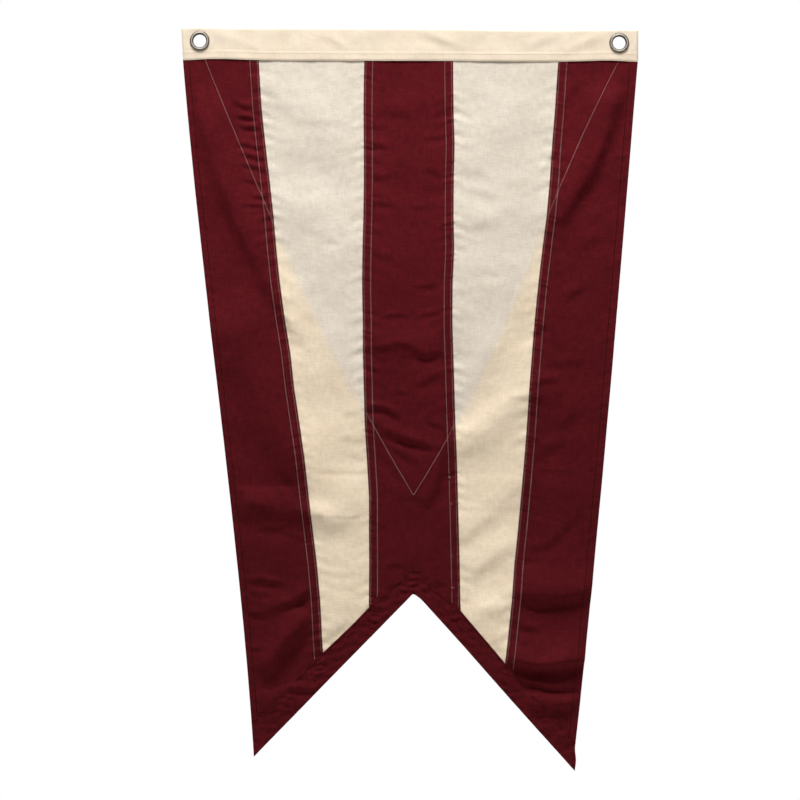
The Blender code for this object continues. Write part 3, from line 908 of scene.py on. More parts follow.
class NodeBench:
    """The nodes of one material or of the world."""

    def __init__(self, owner: NodeOwner) -> None:
        """Clear the owner's nodes.

        Args:
            owner: The material or the world.
        """
        owner.use_nodes = True
        self.owner = owner
        self.tree = owner.node_tree
        self.tree.nodes.clear()

    def add(
        self,
        kind: str,
        settings: dict[str, object] | None = None,
        inputs: dict[str | int, object] | None = None,
    ) -> bpy.types.Node:
        """Add a node.

        Args:
            kind: The node's type.
            settings: Its own properties, set first.
            inputs: A value or a wire for each named or numbered input.

        Returns:
            The node.
        """
        made = self.tree.nodes.new(kind)
        for key, value in (settings or {}).items():
            setattr(made, key, value)
        for key, value in (inputs or {}).items():
            if isinstance(value, Wire):
                self.tree.links.new(value.socket, made.inputs[key])
            else:
                made.inputs[key].default_value = value
        return made

    def node(
        self,
        kind: str,
        settings: dict[str, object] | None = None,
        inputs: dict[str | int, object] | None = None,
        output: str | int = 0,
    ) -> Wire:
        """Add a node and return the wire from one of its outputs."""
        return Wire(self, self.add(kind, settings, inputs).outputs[output])

    def place(self) -> Wire:
        """Return the place of the shaded point, in metres."""
        return self.node("ShaderNodeTexCoord", None, None, "Object")

    def attribute(self, name: str, output: str) -> Wire:
        """Return a point attribute of the mesh."""
        return self.node("ShaderNodeAttribute", {"attribute_name": name}, None, output)

    def split(self, vector: Wire) -> tuple[Wire, Wire, Wire]:
        """Return a vector's three parts."""
        parts = self.add("ShaderNodeSeparateXYZ", None, {0: vector})
        return tuple(Wire(self, socket) for socket in parts.outputs)

    def mix(self, factor: Wire, first: Colour | Wire, second: Colour | Wire) -> Wire:
        """Mix two colours by a factor."""
        colours = {0: factor, MIX_FIRST: opaque(first), MIX_SECOND: opaque(second)}
        return self.node("ShaderNodeMix", {"data_type": "RGBA"}, colours, MIX_RESULT)

    def shaded(self, colour: Wire, shade: Wire) -> Wire:
        """Multiply a colour by a shade.

        Args:
            colour: The colour.
            shade: The factor, 1 where the colour stays as it is.

        Returns:
            The shaded colour.
        """
        grey = self.node("ShaderNodeCombineColor", None, {0: shade, 1: shade, 2: shade})
        settings = {"data_type": "RGBA", "blend_type": "MULTIPLY"}
        colours = {0: 1.0, MIX_FIRST: colour, MIX_SECOND: grey}
        return self.node("ShaderNodeMix", settings, colours, MIX_RESULT)

    def noise(self, place: Wire, scale: float, detail: float, roughness: float = 0.5) -> Wire:
        """Return soft noise from 0 to 1 at a place."""
        inputs = {"Vector": place, "Scale": scale, "Detail": detail, "Roughness": roughness}
        return self.node("ShaderNodeTexNoise", None, inputs)

    def bump(self, height: Wire, distance: float) -> Wire:
        """Return the normal bent by a height given in shares of a distance."""
        return self.node("ShaderNodeBump", None, {"Strength": 1.0, "Distance": distance, "Height": height})

    def close(self, kind: str, surface: Wire) -> NodeOwner:
        """Lead a shader to the output node and return the owner."""
        self.add(kind, None, {"Surface": surface})
        return self.owner

    def finish(self, inputs: dict[str | int, object]) -> bpy.types.Material:
        """Close the material with a Principled shader and return it."""
        return self.close("ShaderNodeOutputMaterial", self.node("ShaderNodeBsdfPrincipled", None, inputs))


def opaque(colour: Colour | Wire) -> tuple[float, ...] | Wire:
    """Return a colour with its alpha, and a wire as it is."""
    return colour if isinstance(colour, Wire) else (*colour, 1.0)


@dataclass(frozen=True)
class ClothFinish:
    """Plain-woven cotton: thread-fine relief, slubs along both threads, and a colour that drifts in patches.

    The share of its colour that the cloth keeps at its lower end is painted shade, darker towards the bottom
    for the light that falls off down the cloth. The scales are in waves per metre, and the shares say how
    much of the thread's noise each part makes.
    """

    name: str
    colour: Colour
    drift: Colour
    slub: float = 0.10
    mottle: float = 0.05
    drift_share: float = 0.5
    thread: float = 0.00058
    thread_relief: float = 0.00010
    slub_relief: float = 0.00012
    crumple_relief: float = 0.00022
    roughness: float = 0.88
    roughness_span: float = 0.10
    specular: float = 0.10
    warp_scales: Triple = (620.0, 60.0, 1.0)
    weft_scales: Triple = (80.0, 560.0, 1.0)
    grain_scale: float = 650.0
    thread_shares: Triple = (0.30, 0.40, 0.30)
    mottle_scale: float = 150.0
    patch_scale: float = 22.0
    patch_range: Point = (0.35, 0.68)
    rough_noise: float = 0.6
    backed_colour: Colour | None = None
    backed_drift: Colour | None = None
    # painted shade: the share of colour kept at the lower end, and the heights over which it darkens
    painted_shade_low: float = 1.0
    painted_shade_from: float = -0.14
    painted_shade_to: float = -0.74

    def threads(self, bench: NodeBench, laid: Wire) -> Wire:
        """Work out the slubs along the warp and the weft, and the grain.

        Args:
            bench: Where the nodes go.
            laid: The place on the cloth before it was hung.

        Returns:
            Noise from 0 to 1.
        """
        warp = bench.noise(laid.scaled(self.warp_scales), 1.0, 2.0)
        weft = bench.noise(laid.scaled(self.weft_scales), 1.0, 2.0)
        grain = bench.noise(laid, self.grain_scale, 2.0, self.rough_noise)
        return warp * self.thread_shares[0] + weft * self.thread_shares[1] + grain * self.thread_shares[2]

    def dyed(self, bench: NodeBench, place: Wire) -> Wire:
        """Work out the cloth's colour in patches, with the patch that lies behind showing through.

        Args:
            bench: Where the nodes go.
            place: The place of the shaded point.

        Returns:
            The colour.
        """
        patches = bench.noise(place, self.patch_scale, 4.0, self.rough_noise).eased(*self.patch_range)
        colour = bench.mix(patches * self.drift_share, self.colour, self.drift)
        if self.backed_colour is None:
            return colour
        behind = bench.mix(patches * self.drift_share, self.backed_colour, self.backed_drift)
        return bench.mix(bench.attribute("backed", "Fac"), colour, behind)

    def make(self) -> bpy.types.Material:
        """Make the cloth's material.

        Returns:
            The material.
        """
        bench = NodeBench(bpy.data.materials.new(self.name))
        laid, place = bench.attribute("laid", "Vector"), bench.place()
        across, along, _ = bench.split(laid)
        turn = 2.0 * math.pi / self.thread
        weave = (across * turn).sine() * (along * turn).sine()
        threads = self.threads(bench, laid)
        mottle = bench.noise(place, self.mottle_scale, 3.0, self.rough_noise)
        shade = (threads - 0.5) * (2.0 * self.slub) + (mottle - 0.5) * (2.0 * self.mottle) + 1.0
        # Painted shade: the colour darkens towards the lower end for the light that falls off down the
        # cloth.
        if self.painted_shade_low < 1.0:
            _, _, height = bench.split(place)
            low = (0.0 - height).eased(-self.painted_shade_from, -self.painted_shade_to)
            shade = shade * (1.0 - low * (1.0 - self.painted_shade_low))
        relief = weave * (0.5 * self.thread_relief) + threads * self.slub_relief
        relief = relief + mottle * self.crumple_relief
        return bench.finish(
            {
                "Base Color": bench.shaded(self.dyed(bench, place), shade),
                "Roughness": threads * self.roughness_span + (self.roughness - 0.5 * self.roughness_span),
                "Normal": bench.bump(relief * (1.0 / self.slub_relief), self.slub_relief),
                "Specular IOR Level": self.specular,
            }
        )


@dataclass(frozen=True)
class ThreadFinish:
    """Sewing thread, two strands twisted together."""

    name: str
    colour: Colour
    dark: Colour
    twist: float = 0.0007
    twist_relief: float = 0.00005
    worn_scale: float = 160.0
    worn_range: Point = (0.35, 0.75)
    roughness: float = 0.70
    roughness_span: float = 0.2
    specular: float = 0.25

    def make(self) -> bpy.types.Material:
        """Make the thread's material.

        Returns:
            The material.
        """
        bench = NodeBench(bpy.data.materials.new(self.name))
        place = bench.place()
        x, _, z = bench.split(place)
        ply = ((x + z) * (2.0 * math.pi / self.twist)).sine() * 0.5 + 0.5
        worn = bench.noise(place, self.worn_scale, 2.0)
        return bench.finish(
            {
                "Base Color": bench.mix(worn.eased(*self.worn_range), self.colour, self.dark),
                "Roughness": worn * self.roughness_span + (self.roughness - 0.5 * self.roughness_span),
                "Normal": bench.bump(ply, self.twist_relief),
                "Specular IOR Level": self.specular,
            }
        )


@dataclass(frozen=True)
class NickelFinish:
    """Antique nickel: bright where it is rubbed, dark where the attribute wear is 0, brown in patches."""

    name: str
    rubbed: Colour
    aged: Colour
    stained: Colour
    metallic: float = 0.7
    age_scale: float = 260.0
    age_share: float = 0.9
    rough_noise: float = 0.6
    rubbed_range: Point = (0.25, 0.80)
    stained_range: Point = (0.46, 0.66)
    fine_scale: float = 1500.0
    relief: float = 0.00006
    roughness: float = 0.42
    unrubbed_roughness: float = 0.25
    aged_roughness: float = 0.15

    def make(self) -> bpy.types.Material:
        """Make the metal's material.

        Returns:
            The material.
        """
        bench = NodeBench(bpy.data.materials.new(self.name))
        place = bench.place()
        age = bench.noise(place, self.age_scale, 4.0, self.rough_noise)
        fine = bench.noise(place, self.fine_scale, 2.0)
        rubbed = (bench.attribute("wear", "Fac") + (age - 0.5) * self.age_share).eased(*self.rubbed_range)
        dull = bench.mix(age.eased(*self.stained_range), self.aged, self.stained)
        rough = (1.0 - rubbed) * self.unrubbed_roughness + age * self.aged_roughness + self.roughness
        return bench.finish(
            {
                "Base Color": bench.mix(rubbed, dull, self.rubbed),
                "Metallic": self.metallic,
                "Roughness": rough,
                "Normal": bench.bump(fine * 0.5 + age, self.relief),
            }
        )


@dataclass(frozen=True)
class FloorFinish:
    """A plain pale studio floor, very faintly cloudy."""

    name: str
    colour: Colour
    cloud_shade: float = 0.96
    cloud_scale: float = 1.5
    roughness: float = 0.9
    specular: float = 0.2

    def make(self) -> bpy.types.Material:
        """Make the floor's material.

        Returns:
            The material.
        """
        bench = NodeBench(bpy.data.materials.new(self.name))
        cloudy = bench.noise(bench.place(), self.cloud_scale, 3.0)
        shade = tuple(self.cloud_shade * channel for channel in self.colour)
        colour = bench.mix(cloudy, self.colour, shade)
        surface = {"Roughness": self.roughness, "Specular IOR Level": self.specular}
        return bench.finish({"Base Color": colour, **surface})


Finish = ClothFinish | ThreadFinish | NickelFinish | FloorFinish


@cache
def material_of(finish: Finish) -> bpy.types.Material:
    """Return a finish's material, made the first time it is asked for."""
    return finish.make()


MAROON = ClothFinish(
    "maroon_cloth",
    (0.0980, 0.0066, 0.0098),
    (0.0800, 0.0052, 0.0082),
    slub=0.86,
    mottle=0.30,
    specular=0.05,
    # painted shade: the maroon darkens towards the tails for the light falling off down the cloth
    painted_shade_low=0.77,
)
CREAM = ClothFinish(
    "cream_cloth",
    (0.825, 0.692, 0.520),
    (0.775, 0.630, 0.452),
    slub=0.31,
    mottle=0.115,
    backed_colour=(0.745, 0.666, 0.563),
    backed_drift=(0.718, 0.630, 0.518),
)
CANVAS = ClothFinish(
    "heading_canvas_cloth",
    (0.838, 0.716, 0.566),
    (0.780, 0.649, 0.489),
    slub=0.14,
    mottle=0.04,
    thread=0.00085,
)
NAVY = ClothFinish("patch_cloth", (0.046, 0.064, 0.115), (0.036, 0.050, 0.092), slub=0.25, mottle=0.08)
WHITE_THREAD = ThreadFinish("white_thread", (0.940, 0.840, 0.780), (0.840, 0.720, 0.660))
# The maroon thread is painted near black, far darker than the maroon cloth: painted shadow along the hems
# and the facings' rows.
MAROON_THREAD_PAINTED_SHADOW = ThreadFinish(
    "maroon_thread_painted_shadow", (0.0120, 0.0018, 0.0026), (0.0080, 0.0014, 0.0020), specular=0.05
)
NATURAL_THREAD = ThreadFinish("natural_thread", (0.830, 0.710, 0.550), (0.700, 0.575, 0.430))
NICKEL = NickelFinish("nickel", (0.600, 0.545, 0.470), (0.050, 0.037, 0.028), (0.080, 0.048, 0.032))
FLOOR = FloorFinish("studio_floor", (0.740, 0.730, 0.712))


def dress(obj: bpy.types.Object, finish: Finish, slot: str, *nodes: str) -> None:
    """Give a piece its material and place in the frame.

    Args:
        obj: The piece.
        finish: Its finish.
        slot: The material slot's name; not used.
        nodes: The CAD nodes it stands for.
    """
    obj.data.materials.clear()
    obj.data.materials.append(material_of(finish))
    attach(obj, BODY)
    if nodes:
        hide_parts(*nodes)
    LOG.info("%s: %d faces", obj.name, len(obj.data.polygons))


def steps_between(low: float, high: float, pitch: float) -> Array:
    """Return even steps from low to high, both included, about a pitch apart."""
    return np.linspace(low, high, max(2, round((high - low) / pitch) + 1))


@dataclass(frozen=True)
class StripeRow:
    """One stripe: its name, its finish, and whether its two sides are laps or run on under a lap."""

    name: str
    finish: ClothFinish
    slot: str
    lapped: bool


@dataclass
class Stripes:
    """The five stripes, with their side hems and felled seams."""

    pattern: Pattern
    plies: Plies
    column_pitch: float = 0.0027
    row_pitch: float = 0.0023
    slot_depth: float = 0.0085
    lap_columns: tuple[float, ...] = (0.0, 0.0003, 0.0008, 0.0013, 0.0019, 0.0030, 0.0045, 0.0060, 0.0078)
    fold_columns: tuple[float, ...] = (-0.0012, -0.0002, 0.0005, 0.0011, 0.0020, 0.0034)
    under_columns: tuple[float, ...] = (
        -0.0122, -0.0100, -0.0078, -0.0060, -0.0045, -0.0030, -0.0012, -0.0005, 0.0, 0.0006, 0.0016,
    )
    last_rows: tuple[float, ...] = (0.0012, 0.0003, 0.0)
    edge_row: float = 0.0010
    groove: float = 0.00010
    groove_width: float = 0.0007
    draw_in: float = 0.0030
    draw_reach: Point = (0.0040, 0.0200)
    behind: float = 0.00015
    show_through: float = 0.0150
    tuck: float = 0.0009
    laid_shift: Point = (0.37, 0.11)
    rows: tuple[StripeRow, ...] = (
        StripeRow("stripe_left", MAROON, "maroon_cotton", True),
        StripeRow("cream_left", CREAM, "cream_cotton", False),
        StripeRow("stripe_centre", MAROON, "maroon_cotton", True),
        StripeRow("cream_right", CREAM, "cream_cotton", False),
        StripeRow("stripe_right", MAROON, "maroon_cotton", True),
    )

    def side_columns(self, stripe: StripeRow, seam: int) -> Array:
        """Place the close columns along one side of a stripe.

        Args:
            stripe: The stripe.
            seam: The seam or edge on that side.

        Returns:
            Each column's distance into the stripe from the seam line.
        """
        if not stripe.lapped:
            return np.array((-self.plies.under,) + self.under_columns)
        beyond = self.pattern.lap(seam) + np.array(self.fold_columns)
        return np.concatenate(([c for c in self.lap_columns if c < beyond[0] - self.edge_row], beyond))

    def place(self, index: int) -> tuple[Array, Array]:
        """Place a stripe's rows and columns, from inside the heading to the swallow tail.

        Args:
            index: The stripe's number, from the left.

        Returns:
            x and z by row and column.
        """
        pattern, stripe = self.pattern, self.rows[index]
        left_side, right_side = self.side_columns(stripe, index), self.side_columns(stripe, index + 1)
        width = pattern.seams[index + 1][0] - pattern.seams[index][0] - left_side[-1] - right_side[-1]
        inner = steps_between(0.0, 1.0, self.column_pitch / width)[1:-1]
        shares = np.concatenate((np.zeros(len(left_side)), inner, np.ones(len(right_side))))
        between = left_side[-1] * (1.0 - inner) - right_side[-1] * inner
        offsets = np.concatenate((left_side, between, -right_side[::-1]))

        def column_x(z: Array) -> Array:
            """Return each column's x at its own height or at a row's."""
            left, right = pattern.seam(index, z), pattern.seam(index + 1, z)
            return left + shares * (right - left) + offsets

        top = np.full(len(shares), pattern.heading_lower(np.zeros(1))[0])
        bottom = np.full(len(shares), pattern.notch[1])
        for _ in range(SETTLING_ROUNDS):
            top = pattern.heading_lower(column_x(top)) + self.slot_depth
            bottom = pattern.cut_edge(column_x(bottom))
        longest = float((top - bottom).max())
        steps = steps_between(0.0, 1.0, self.row_pitch / longest)
        steps = np.concatenate((steps[:-1], 1.0 - np.array(self.last_rows) / longest))
        z = top + steps[:, None] * (bottom - top)
        x = column_x(z)
        tucked = smooth_step((z - pattern.heading_lower(x)) / self.draw_reach[0]) * self.draw_in
        for seam, inward in ((0, 1), (pattern.last, -1)):
            if seam in (index, index + 1):
                x = x + inward * tucked * np.exp(-(((x - pattern.seam(seam, z)) / self.draw_reach[1]) ** 2))
        return x, z

    def grid(self, index: int) -> Grid:
        """Work out a stripe's points on both faces.

        Args:
            index: The stripe's number, from the left.

        Returns:
            The stripe's grid.
        """
        x, z = self.place(index)
        plies, pattern = self.plies, self.pattern
        middle = plies.hang.y(x, z)
        front, back = middle - plies.half, middle + plies.half
        for seam, side in ((index, 1), (index + 1, -1)):
            inward = (x - pattern.seam(seam, z)) * side
            if self.rows[index].lapped:
                front -= plies.raised(seam) * (1.0 - plies.past_lap(seam, inward))
                off_row = (inward - pattern.stitched[seam]) / self.groove_width
                front += self.groove * np.exp(-(off_row**2))
                if not pattern.is_edge(seam):
                    lift = plies.half - plies.under_front + self.behind
                    back -= lift * (1.0 - smooth_step((inward - plies.under) / plies.shoulder))
            else:
                tucked = 1.0 - smooth_step(inward / self.tuck + 1.0)
                front += (plies.half + plies.under_front) * tucked
                back += (plies.under_back - plies.half) * tucked
        across, down = (index * part for part in self.laid_shift)
        laid = np.stack((x - pattern.seam(index, z) + across, z + down), axis=-1)
        return Grid(x, z, front, back, laid, pattern.inside_patch(x, z, self.show_through))

    def build(self) -> None:
        for index, row in enumerate(self.rows):
            grid = self.grid(index)
            piece = sheet_mesh(row.name + "_cloth", grid)
            dress(piece, row.finish, row.slot, row.name)


@dataclass
class Facings:
    """The two bands that are sewn along the swallow tail and meet in a mitre above the notch."""

    pattern: Pattern
    plies: Plies
    pitch: float = 0.0013
    depth: float = 0.040
    mitre_gap: float = 0.0002
    edge: float = 0.0003
    first_rows: tuple[float, ...] = (0.0, 0.008, 0.025)
    last_rows: tuple[float, ...] = (0.975, 0.992, 1.0)
    fold_share: float = 0.055

    def grid(self, seam: int) -> Grid:
        """Work out the points of one band, from its inner line to the cut edge.

        Args:
            seam: The outer edge at which the band ends.

        Returns:
            The band's grid.
        """
        pattern, notch = self.pattern, self.pattern.notch[0]
        aside = -1.0 if seam == 0 else 1.0
        tip = pattern.tip_left if seam == 0 else pattern.tip_right
        span = abs(tip[0] - notch)
        shares = steps_between(0.0, 1.0, self.pitch / span)
        shares = np.concatenate(((0.0, self.edge / span), shares[1:-1], (1.0 - self.edge / span, 1.0)))
        start = notch + aside * self.mitre_gap

        def column_x(z: Array) -> Array:
            """Return each column's x at its own height or at a row's."""
            return start + shares * (pattern.seam(seam, z) - start)

        top = bottom = np.full(len(shares), pattern.notch[1])
        for _ in range(SETTLING_ROUNDS):
            top = pattern.facing_z(column_x(top))
            bottom = pattern.cut_edge(column_x(bottom))
        steps = steps_between(self.first_rows[-1], self.last_rows[0], self.pitch / self.depth)
        steps = np.concatenate((self.first_rows[:-1], steps, self.last_rows[1:]))
        z = top + steps[:, None] * (bottom - top)
        x = column_x(z)
        if seam == 0:
            x, z = x[:, ::-1], z[:, ::-1]
        fold = self.plies.facing_fold * np.exp(-((steps / self.fold_share) ** 2))[:, None]
        slant = math.hypot(1.0, 1.0)
        laid = np.stack((x * slant, (z - pattern.facing_z(x)) / slant), axis=-1)
        near, far = self.plies.facing_front(x, z) - fold, self.plies.facing_back(x, z)
        return Grid(x, z, near, far, laid, np.zeros_like(x))

    def build(self) -> None:
        for side, seam in (("left", 0), ("right", self.pattern.last)):
            grid = self.grid(seam)
            piece = sheet_mesh(f"facing_{side}_cloth", grid)
            dress(piece, MAROON, "maroon_cotton", f"facing_{side}")
            length = math.dist((grid.x[-1, 0], grid.z[-1, 0]), (grid.x[-1, -1], grid.z[-1, -1]))
            width = self.depth * float(grid.x.max() - grid.x.min()) / length


@dataclass
class HoistTriangle:
    """The plain triangular patch on the hidden side."""

    pattern: Pattern
    plies: Plies
    pitch: float = 0.0040
    columns: int = 110
    slot_depth: float = 0.0060
    tip_width: float = 0.0006
    hem: float = 0.0070
    hem_thick: float = 0.00025
    hem_step: float = 0.0020

    def grid(self) -> Grid:
        """Work out the patch's points.

        Returns:
            The patch's grid.
        """
        pattern, plies = self.pattern, self.plies
        tip = min(pattern.patch_heights_left)
        shares = np.linspace(0.0, 1.0, self.columns)
        top_x = pattern.patch_left[0] + shares * (pattern.patch_right[0] - pattern.patch_left[0])
        top = pattern.heading_lower(top_x) + self.slot_depth
        steps = steps_between(0.0, 1.0, self.pitch / (top.max() - tip))
        z = top + steps[:, None] * (tip + self.tip_width - top)
        left, right = pattern.patch_span(np.minimum(z, pattern.patch_heights_left[0]))
        x = left + shares * (right - left)
        near = plies.patch_front(x, z)
        inward = np.minimum(x - left, right - x)
        thick = plies.patch_thick + self.hem_thick * (1.0 - smooth_step((inward - self.hem) / self.hem_step))
        return Grid(x, z, near, near + thick, np.stack((x, z), axis=-1), np.zeros_like(x))

    def build(self) -> None:
        grid = self.grid()
        piece = sheet_mesh("hoist_triangle_cloth", grid)
        dress(piece, NAVY, "patch_cotton", "hoist_triangle")


@dataclass
class Heading:
    """The canvas strip folded over the top edge, with its tucked lower edge and its eyelet holes."""

    pattern: Pattern
    hang: Hang
    centres: tuple[Point, ...]
    pitch: float = 0.0017
    ply: float = 0.00055
    band: float = 0.0107
    band_step: float = 0.0030
    band_out: float = 0.00185
    upper_out: float = 0.00172
    pinch: float = 0.0021
    pinched_out: float = 0.00070
    slant: float = 0.0022
    slant_reach: float = 0.0120
    relief: Ripple = field(default_factory=lambda: Ripple(21, 0.018, 0.070, 0.7, 30))
    relief_depth: float = 0.00022
    pucker_seed: int = 81
    pucker_pitch: float = 0.0062
    pucker_slant: float = 0.3
    pucker_depth: float = 0.00004
    lip: float = 0.0026
    lip_out: float = 0.00145
    tuck_line: float = 0.0124
    tuck_width: float = 0.0008
    tuck_depth: float = 0.00006
    pucker_reach: float = 0.0120
    hole: float = 0.0096
    cutter_half: float = 0.02
    cutter_core: float = 0.0001
    cutter_sides: int = 64
    clamped: float = 0.0135
    clamp_fade: float = 0.0080
    fold_steps: int = 7
    upper_rows: int = 13
    end_columns: tuple[float, ...] = (0.0003, 0.0009, 0.0015)
    low_rows: tuple[float, ...] = (
        0.0, 0.0003, 0.0010, 0.0019, 0.0028, 0.0045, 0.0065, 0.0083, 0.0092, 0.0100,
    )
    high_rows: tuple[float, ...] = (0.0104, 0.0108, 0.0112, 0.0117, 0.0121, 0.0126, 0.0132, 0.0140)
    folds: tuple[Fold, ...] = folds_from(
        Profile.CREASE,
        (7, -6, 40, -17, 74, -30, 0.5, 5, 6), (-262, -8, -235, -20, -190, -34, 0.35, 6, 7),
        (-120, -10, -100, -20, -85, -31, 0.4, 5, 6), (262, -10, 235, -22, 205, -36, 0.6, 6, 7),
        (150, -30, 175, -20, 205, -10, 0.4, 6, 6),
    )

    def surface(self, face: Face) -> Surface:
        """Make the function that the stitching lies on.

        Args:
            face: Which of the heading's faces.

        Returns:
            The function that gives y of that face at x and z.
        """

        def outer(x: Array, z: Array) -> Array:
            """Return y of the face at each point."""
            return self.middle(x, z) + face.value * self.out_at(z - self.pattern.heading_lower(x))

        return outer

    def out_at(self, height: Array) -> Array:
        """Work out how far a leaf's outer face stands off the heading's middle surface.

        Args:
            height: Heights above the lower edge.

        Returns:
            The offset at each height.
        """
        step = smooth_step((height - self.band) / self.band_step)
        out = self.band_out + (self.upper_out - self.band_out) * step
        out = out - self.tuck_depth * np.exp(-(((height - self.tuck_line) / self.tuck_width) ** 2))
        return out - (self.band_out - self.lip_out) * (1.0 - smooth_step(height / self.lip))

    def middle(self, x: Array, z: Array) -> Array:
        """Work out the heading's middle surface, creased and puckered, but flat round the eyelets.

        Args:
            x: Where the points lie along the heading.
            z: Their heights.

        Returns:
            y at each point.
        """
        height = z - self.pattern.heading_lower(x)
        near_edge = np.exp(-((height / self.pucker_reach) ** 2))
        pucker = Waver(self.pucker_seed, self.pucker_pitch).at(x + self.pucker_slant * height)
        relief = self.pucker_depth * pucker * near_edge
        relief = relief - self.relief_depth * self.relief.at(x, z)
        for fold in self.folds:
            relief = relief + fold.offset(x, z)
        for centre in self.centres:
            away = np.hypot(x - centre[0], z - centre[1]) - self.clamped
            relief = relief * smooth_step(away / self.clamp_fade)
        return self.hang.heading_y(x) + relief

    def grid(self) -> Grid:
        """Work out the strip's points, from one face's lower edge over the fold to the other's.

        Returns:
            The strip's grid, with the outer face as its front.
        """
        left, right = self.pattern.heading_left, self.pattern.heading_right
        near = np.array(self.end_columns)
        columns = steps_between(left, right, self.pitch)[1:-1]
        columns = np.concatenate(((left,), left + near, columns, right - near[::-1], (right,)))
        lower, top = self.pattern.heading_lower(columns), self.pattern.heading_top(columns)
        shared = np.array(self.low_rows + self.high_rows)[:, None] + np.zeros(len(columns))
        shares = np.linspace(0.0, 1.0, self.upper_rows)[1:, None]
        upper = shared[-1] + shares * (top - lower - self.upper_out - shared[-1])
        leaf = np.concatenate((shared, upper))
        ends = smooth_step(np.minimum(columns - left, right - columns) / self.pinch)
        outer = self.pinched_out + (self.out_at(leaf) - self.pinched_out) * ends
        inner = outer - self.ply
        turns = np.linspace(0.0, math.pi, self.fold_steps + 2)[1:-1, None]
        crown = lower + leaf[-1]
        z = np.concatenate((lower + leaf, crown + np.sin(turns) * outer[-1], (lower + leaf)[::-1]))
        z_in = np.concatenate((lower + leaf, crown + np.sin(turns) * inner[-1], (lower + leaf)[::-1]))
        out = np.concatenate((outer, np.cos(turns) * outer[-1], -outer[::-1]))
        inside = np.concatenate((inner, np.cos(turns) * inner[-1], -inner[::-1]))
        x = np.zeros_like(z) + columns
        down = np.clip((top - z) / (top - lower), 0.0, 1.0)
        x += self.slant * down * np.exp(-(((columns - left) / self.slant_reach) ** 2))
        middle = self.middle(x, z)
        over = leaf[-1] + turns * self.upper_out
        along = np.concatenate((leaf, over, 2.0 * over[-1] - leaf[::-1]))
        laid = np.stack((along, x), axis=-1)
        return Grid(x, z, middle + out, middle + inside, laid, np.zeros_like(x), z_in)

    def cut_holes(self, piece: bpy.types.Object) -> None:
        """Cut the eyelets' holes through the canvas.

        Args:
            piece: The heading.
        """
        cutters = []
        for number, centre in enumerate(self.centres):
            corners = ((self.hole, -1), (self.hole, 1), (self.cutter_core, 1), (self.cutter_core, -1))
            section = [(out, side * self.cutter_half, 0.0) for out, side in corners]
            cutter = turned_mesh(f"cutter_{number}", section, centre, self.cutter_sides)
            modifier = piece.modifiers.new(cutter.name, "BOOLEAN")
            modifier.operation = "DIFFERENCE"
            modifier.solver = "EXACT"
            modifier.object = cutter
            cutters.append(cutter)
        bpy.context.view_layer.update()
        evaluated = piece.evaluated_get(bpy.context.evaluated_depsgraph_get())
        mesh = bpy.data.meshes.new_from_object(evaluated)
        piece.modifiers.clear()
        old, piece.data = piece.data, mesh
        bpy.data.meshes.remove(old)
        for cutter in cutters:
            bpy.data.objects.remove(cutter)
        mesh.name = piece.name

    def build(self) -> None:
        piece = sheet_mesh("heading_cloth", self.grid())
        self.cut_holes(piece)
        dress(piece, CANVAS, "heading_canvas", "heading")


class Turn(NamedTuple):
    """A point of a turned section: how far out from the bore and its y, in mm, and how rubbed it is."""

    out: float
    y: float
    wear: float


@dataclass(frozen=True)
class Eyelet:
    """A rolled eyelet set through the heading against a washer."""

    side: str
    centre: Point
    bore: float = 0.00865
    sides: int = 96
    ring: tuple[Turn, ...] = (
        Turn(0.00, -1.20, 0.00), Turn(0.06, -2.10, 0.00), Turn(0.26, -2.75, 0.00), Turn(0.66, -3.30, 0.10),
        Turn(1.20, -3.67, 0.35), Turn(1.85, -3.86, 0.90), Turn(2.40, -3.90, 1.00), Turn(2.85, -3.82, 0.80),
        Turn(3.14, -3.60, 0.10), Turn(3.30, -3.50, 0.00), Turn(3.50, -3.58, 0.30), Turn(3.85, -3.43, 0.60),
        Turn(4.20, -3.00, 0.40), Turn(4.45, -2.50, 0.10), Turn(4.60, -2.05, 0.00), Turn(4.55, -1.75, 0.00),
        Turn(3.00, -1.45, 0.00), Turn(0.75, -1.45, 0.00), Turn(0.75, 2.50, 0.00), Turn(1.60, 3.00, 0.00),
        Turn(2.35, 3.02, 0.20), Turn(2.45, 3.18, 0.50), Turn(2.00, 3.45, 0.90), Turn(1.20, 3.45, 0.90),
        Turn(0.45, 3.15, 0.40), Turn(0.08, 2.60, 0.00), Turn(0.00, 1.80, 0.00),
    )
    washer: tuple[Turn, ...] = (
        Turn(1.00, 1.75, 0.00), Turn(4.60, 1.75, 0.10), Turn(4.70, 2.15, 0.20), Turn(4.50, 2.55, 0.50),
        Turn(4.00, 2.82, 0.70), Turn(3.30, 2.92, 0.60), Turn(2.40, 2.94, 0.20), Turn(1.50, 2.70, 0.00),
        Turn(1.00, 2.30, 0.00),
    )

    def build(self) -> None:
        """Build and dress the eyelet and its washer."""
        for part, section in (("eyelet", self.ring), ("washer", self.washer)):
            profile = [(self.bore + t.out / MM_PER_METRE, t.y / MM_PER_METRE, t.wear) for t in section]
            piece = turned_mesh(f"{part}_{self.side}_ring", profile, self.centre, self.sides)
            dress(piece, NICKEL, "eyelet_nickel", f"{part}_{self.side}")


@dataclass(frozen=True)
class Stitch:
    """The size of one stitch as it shows."""

    length: float
    width: float
    height: float


SEAM_STITCH = Stitch(0.00090, 0.00070, 0.00040)
EDGE_STITCH = Stitch(0.00088, 0.00060, 0.00034)
PATCH_STITCH = Stitch(0.00095, 0.00062, 0.00034)
# Wide, so that its near-black thread paints a shadow line along the hems and facings.
HEM_STITCH = Stitch(0.00270, 0.00090, 0.00030)
CANVAS_STITCH = Stitch(0.00220, 0.00045, 0.00030)


@dataclass(frozen=True)
class StitchRow:
    """A row of lockstitch: its path as x and z, the face and the surface it lies on, and its size."""

    path: Array
    face: Face
    surface: Surface
    stitch: Stitch


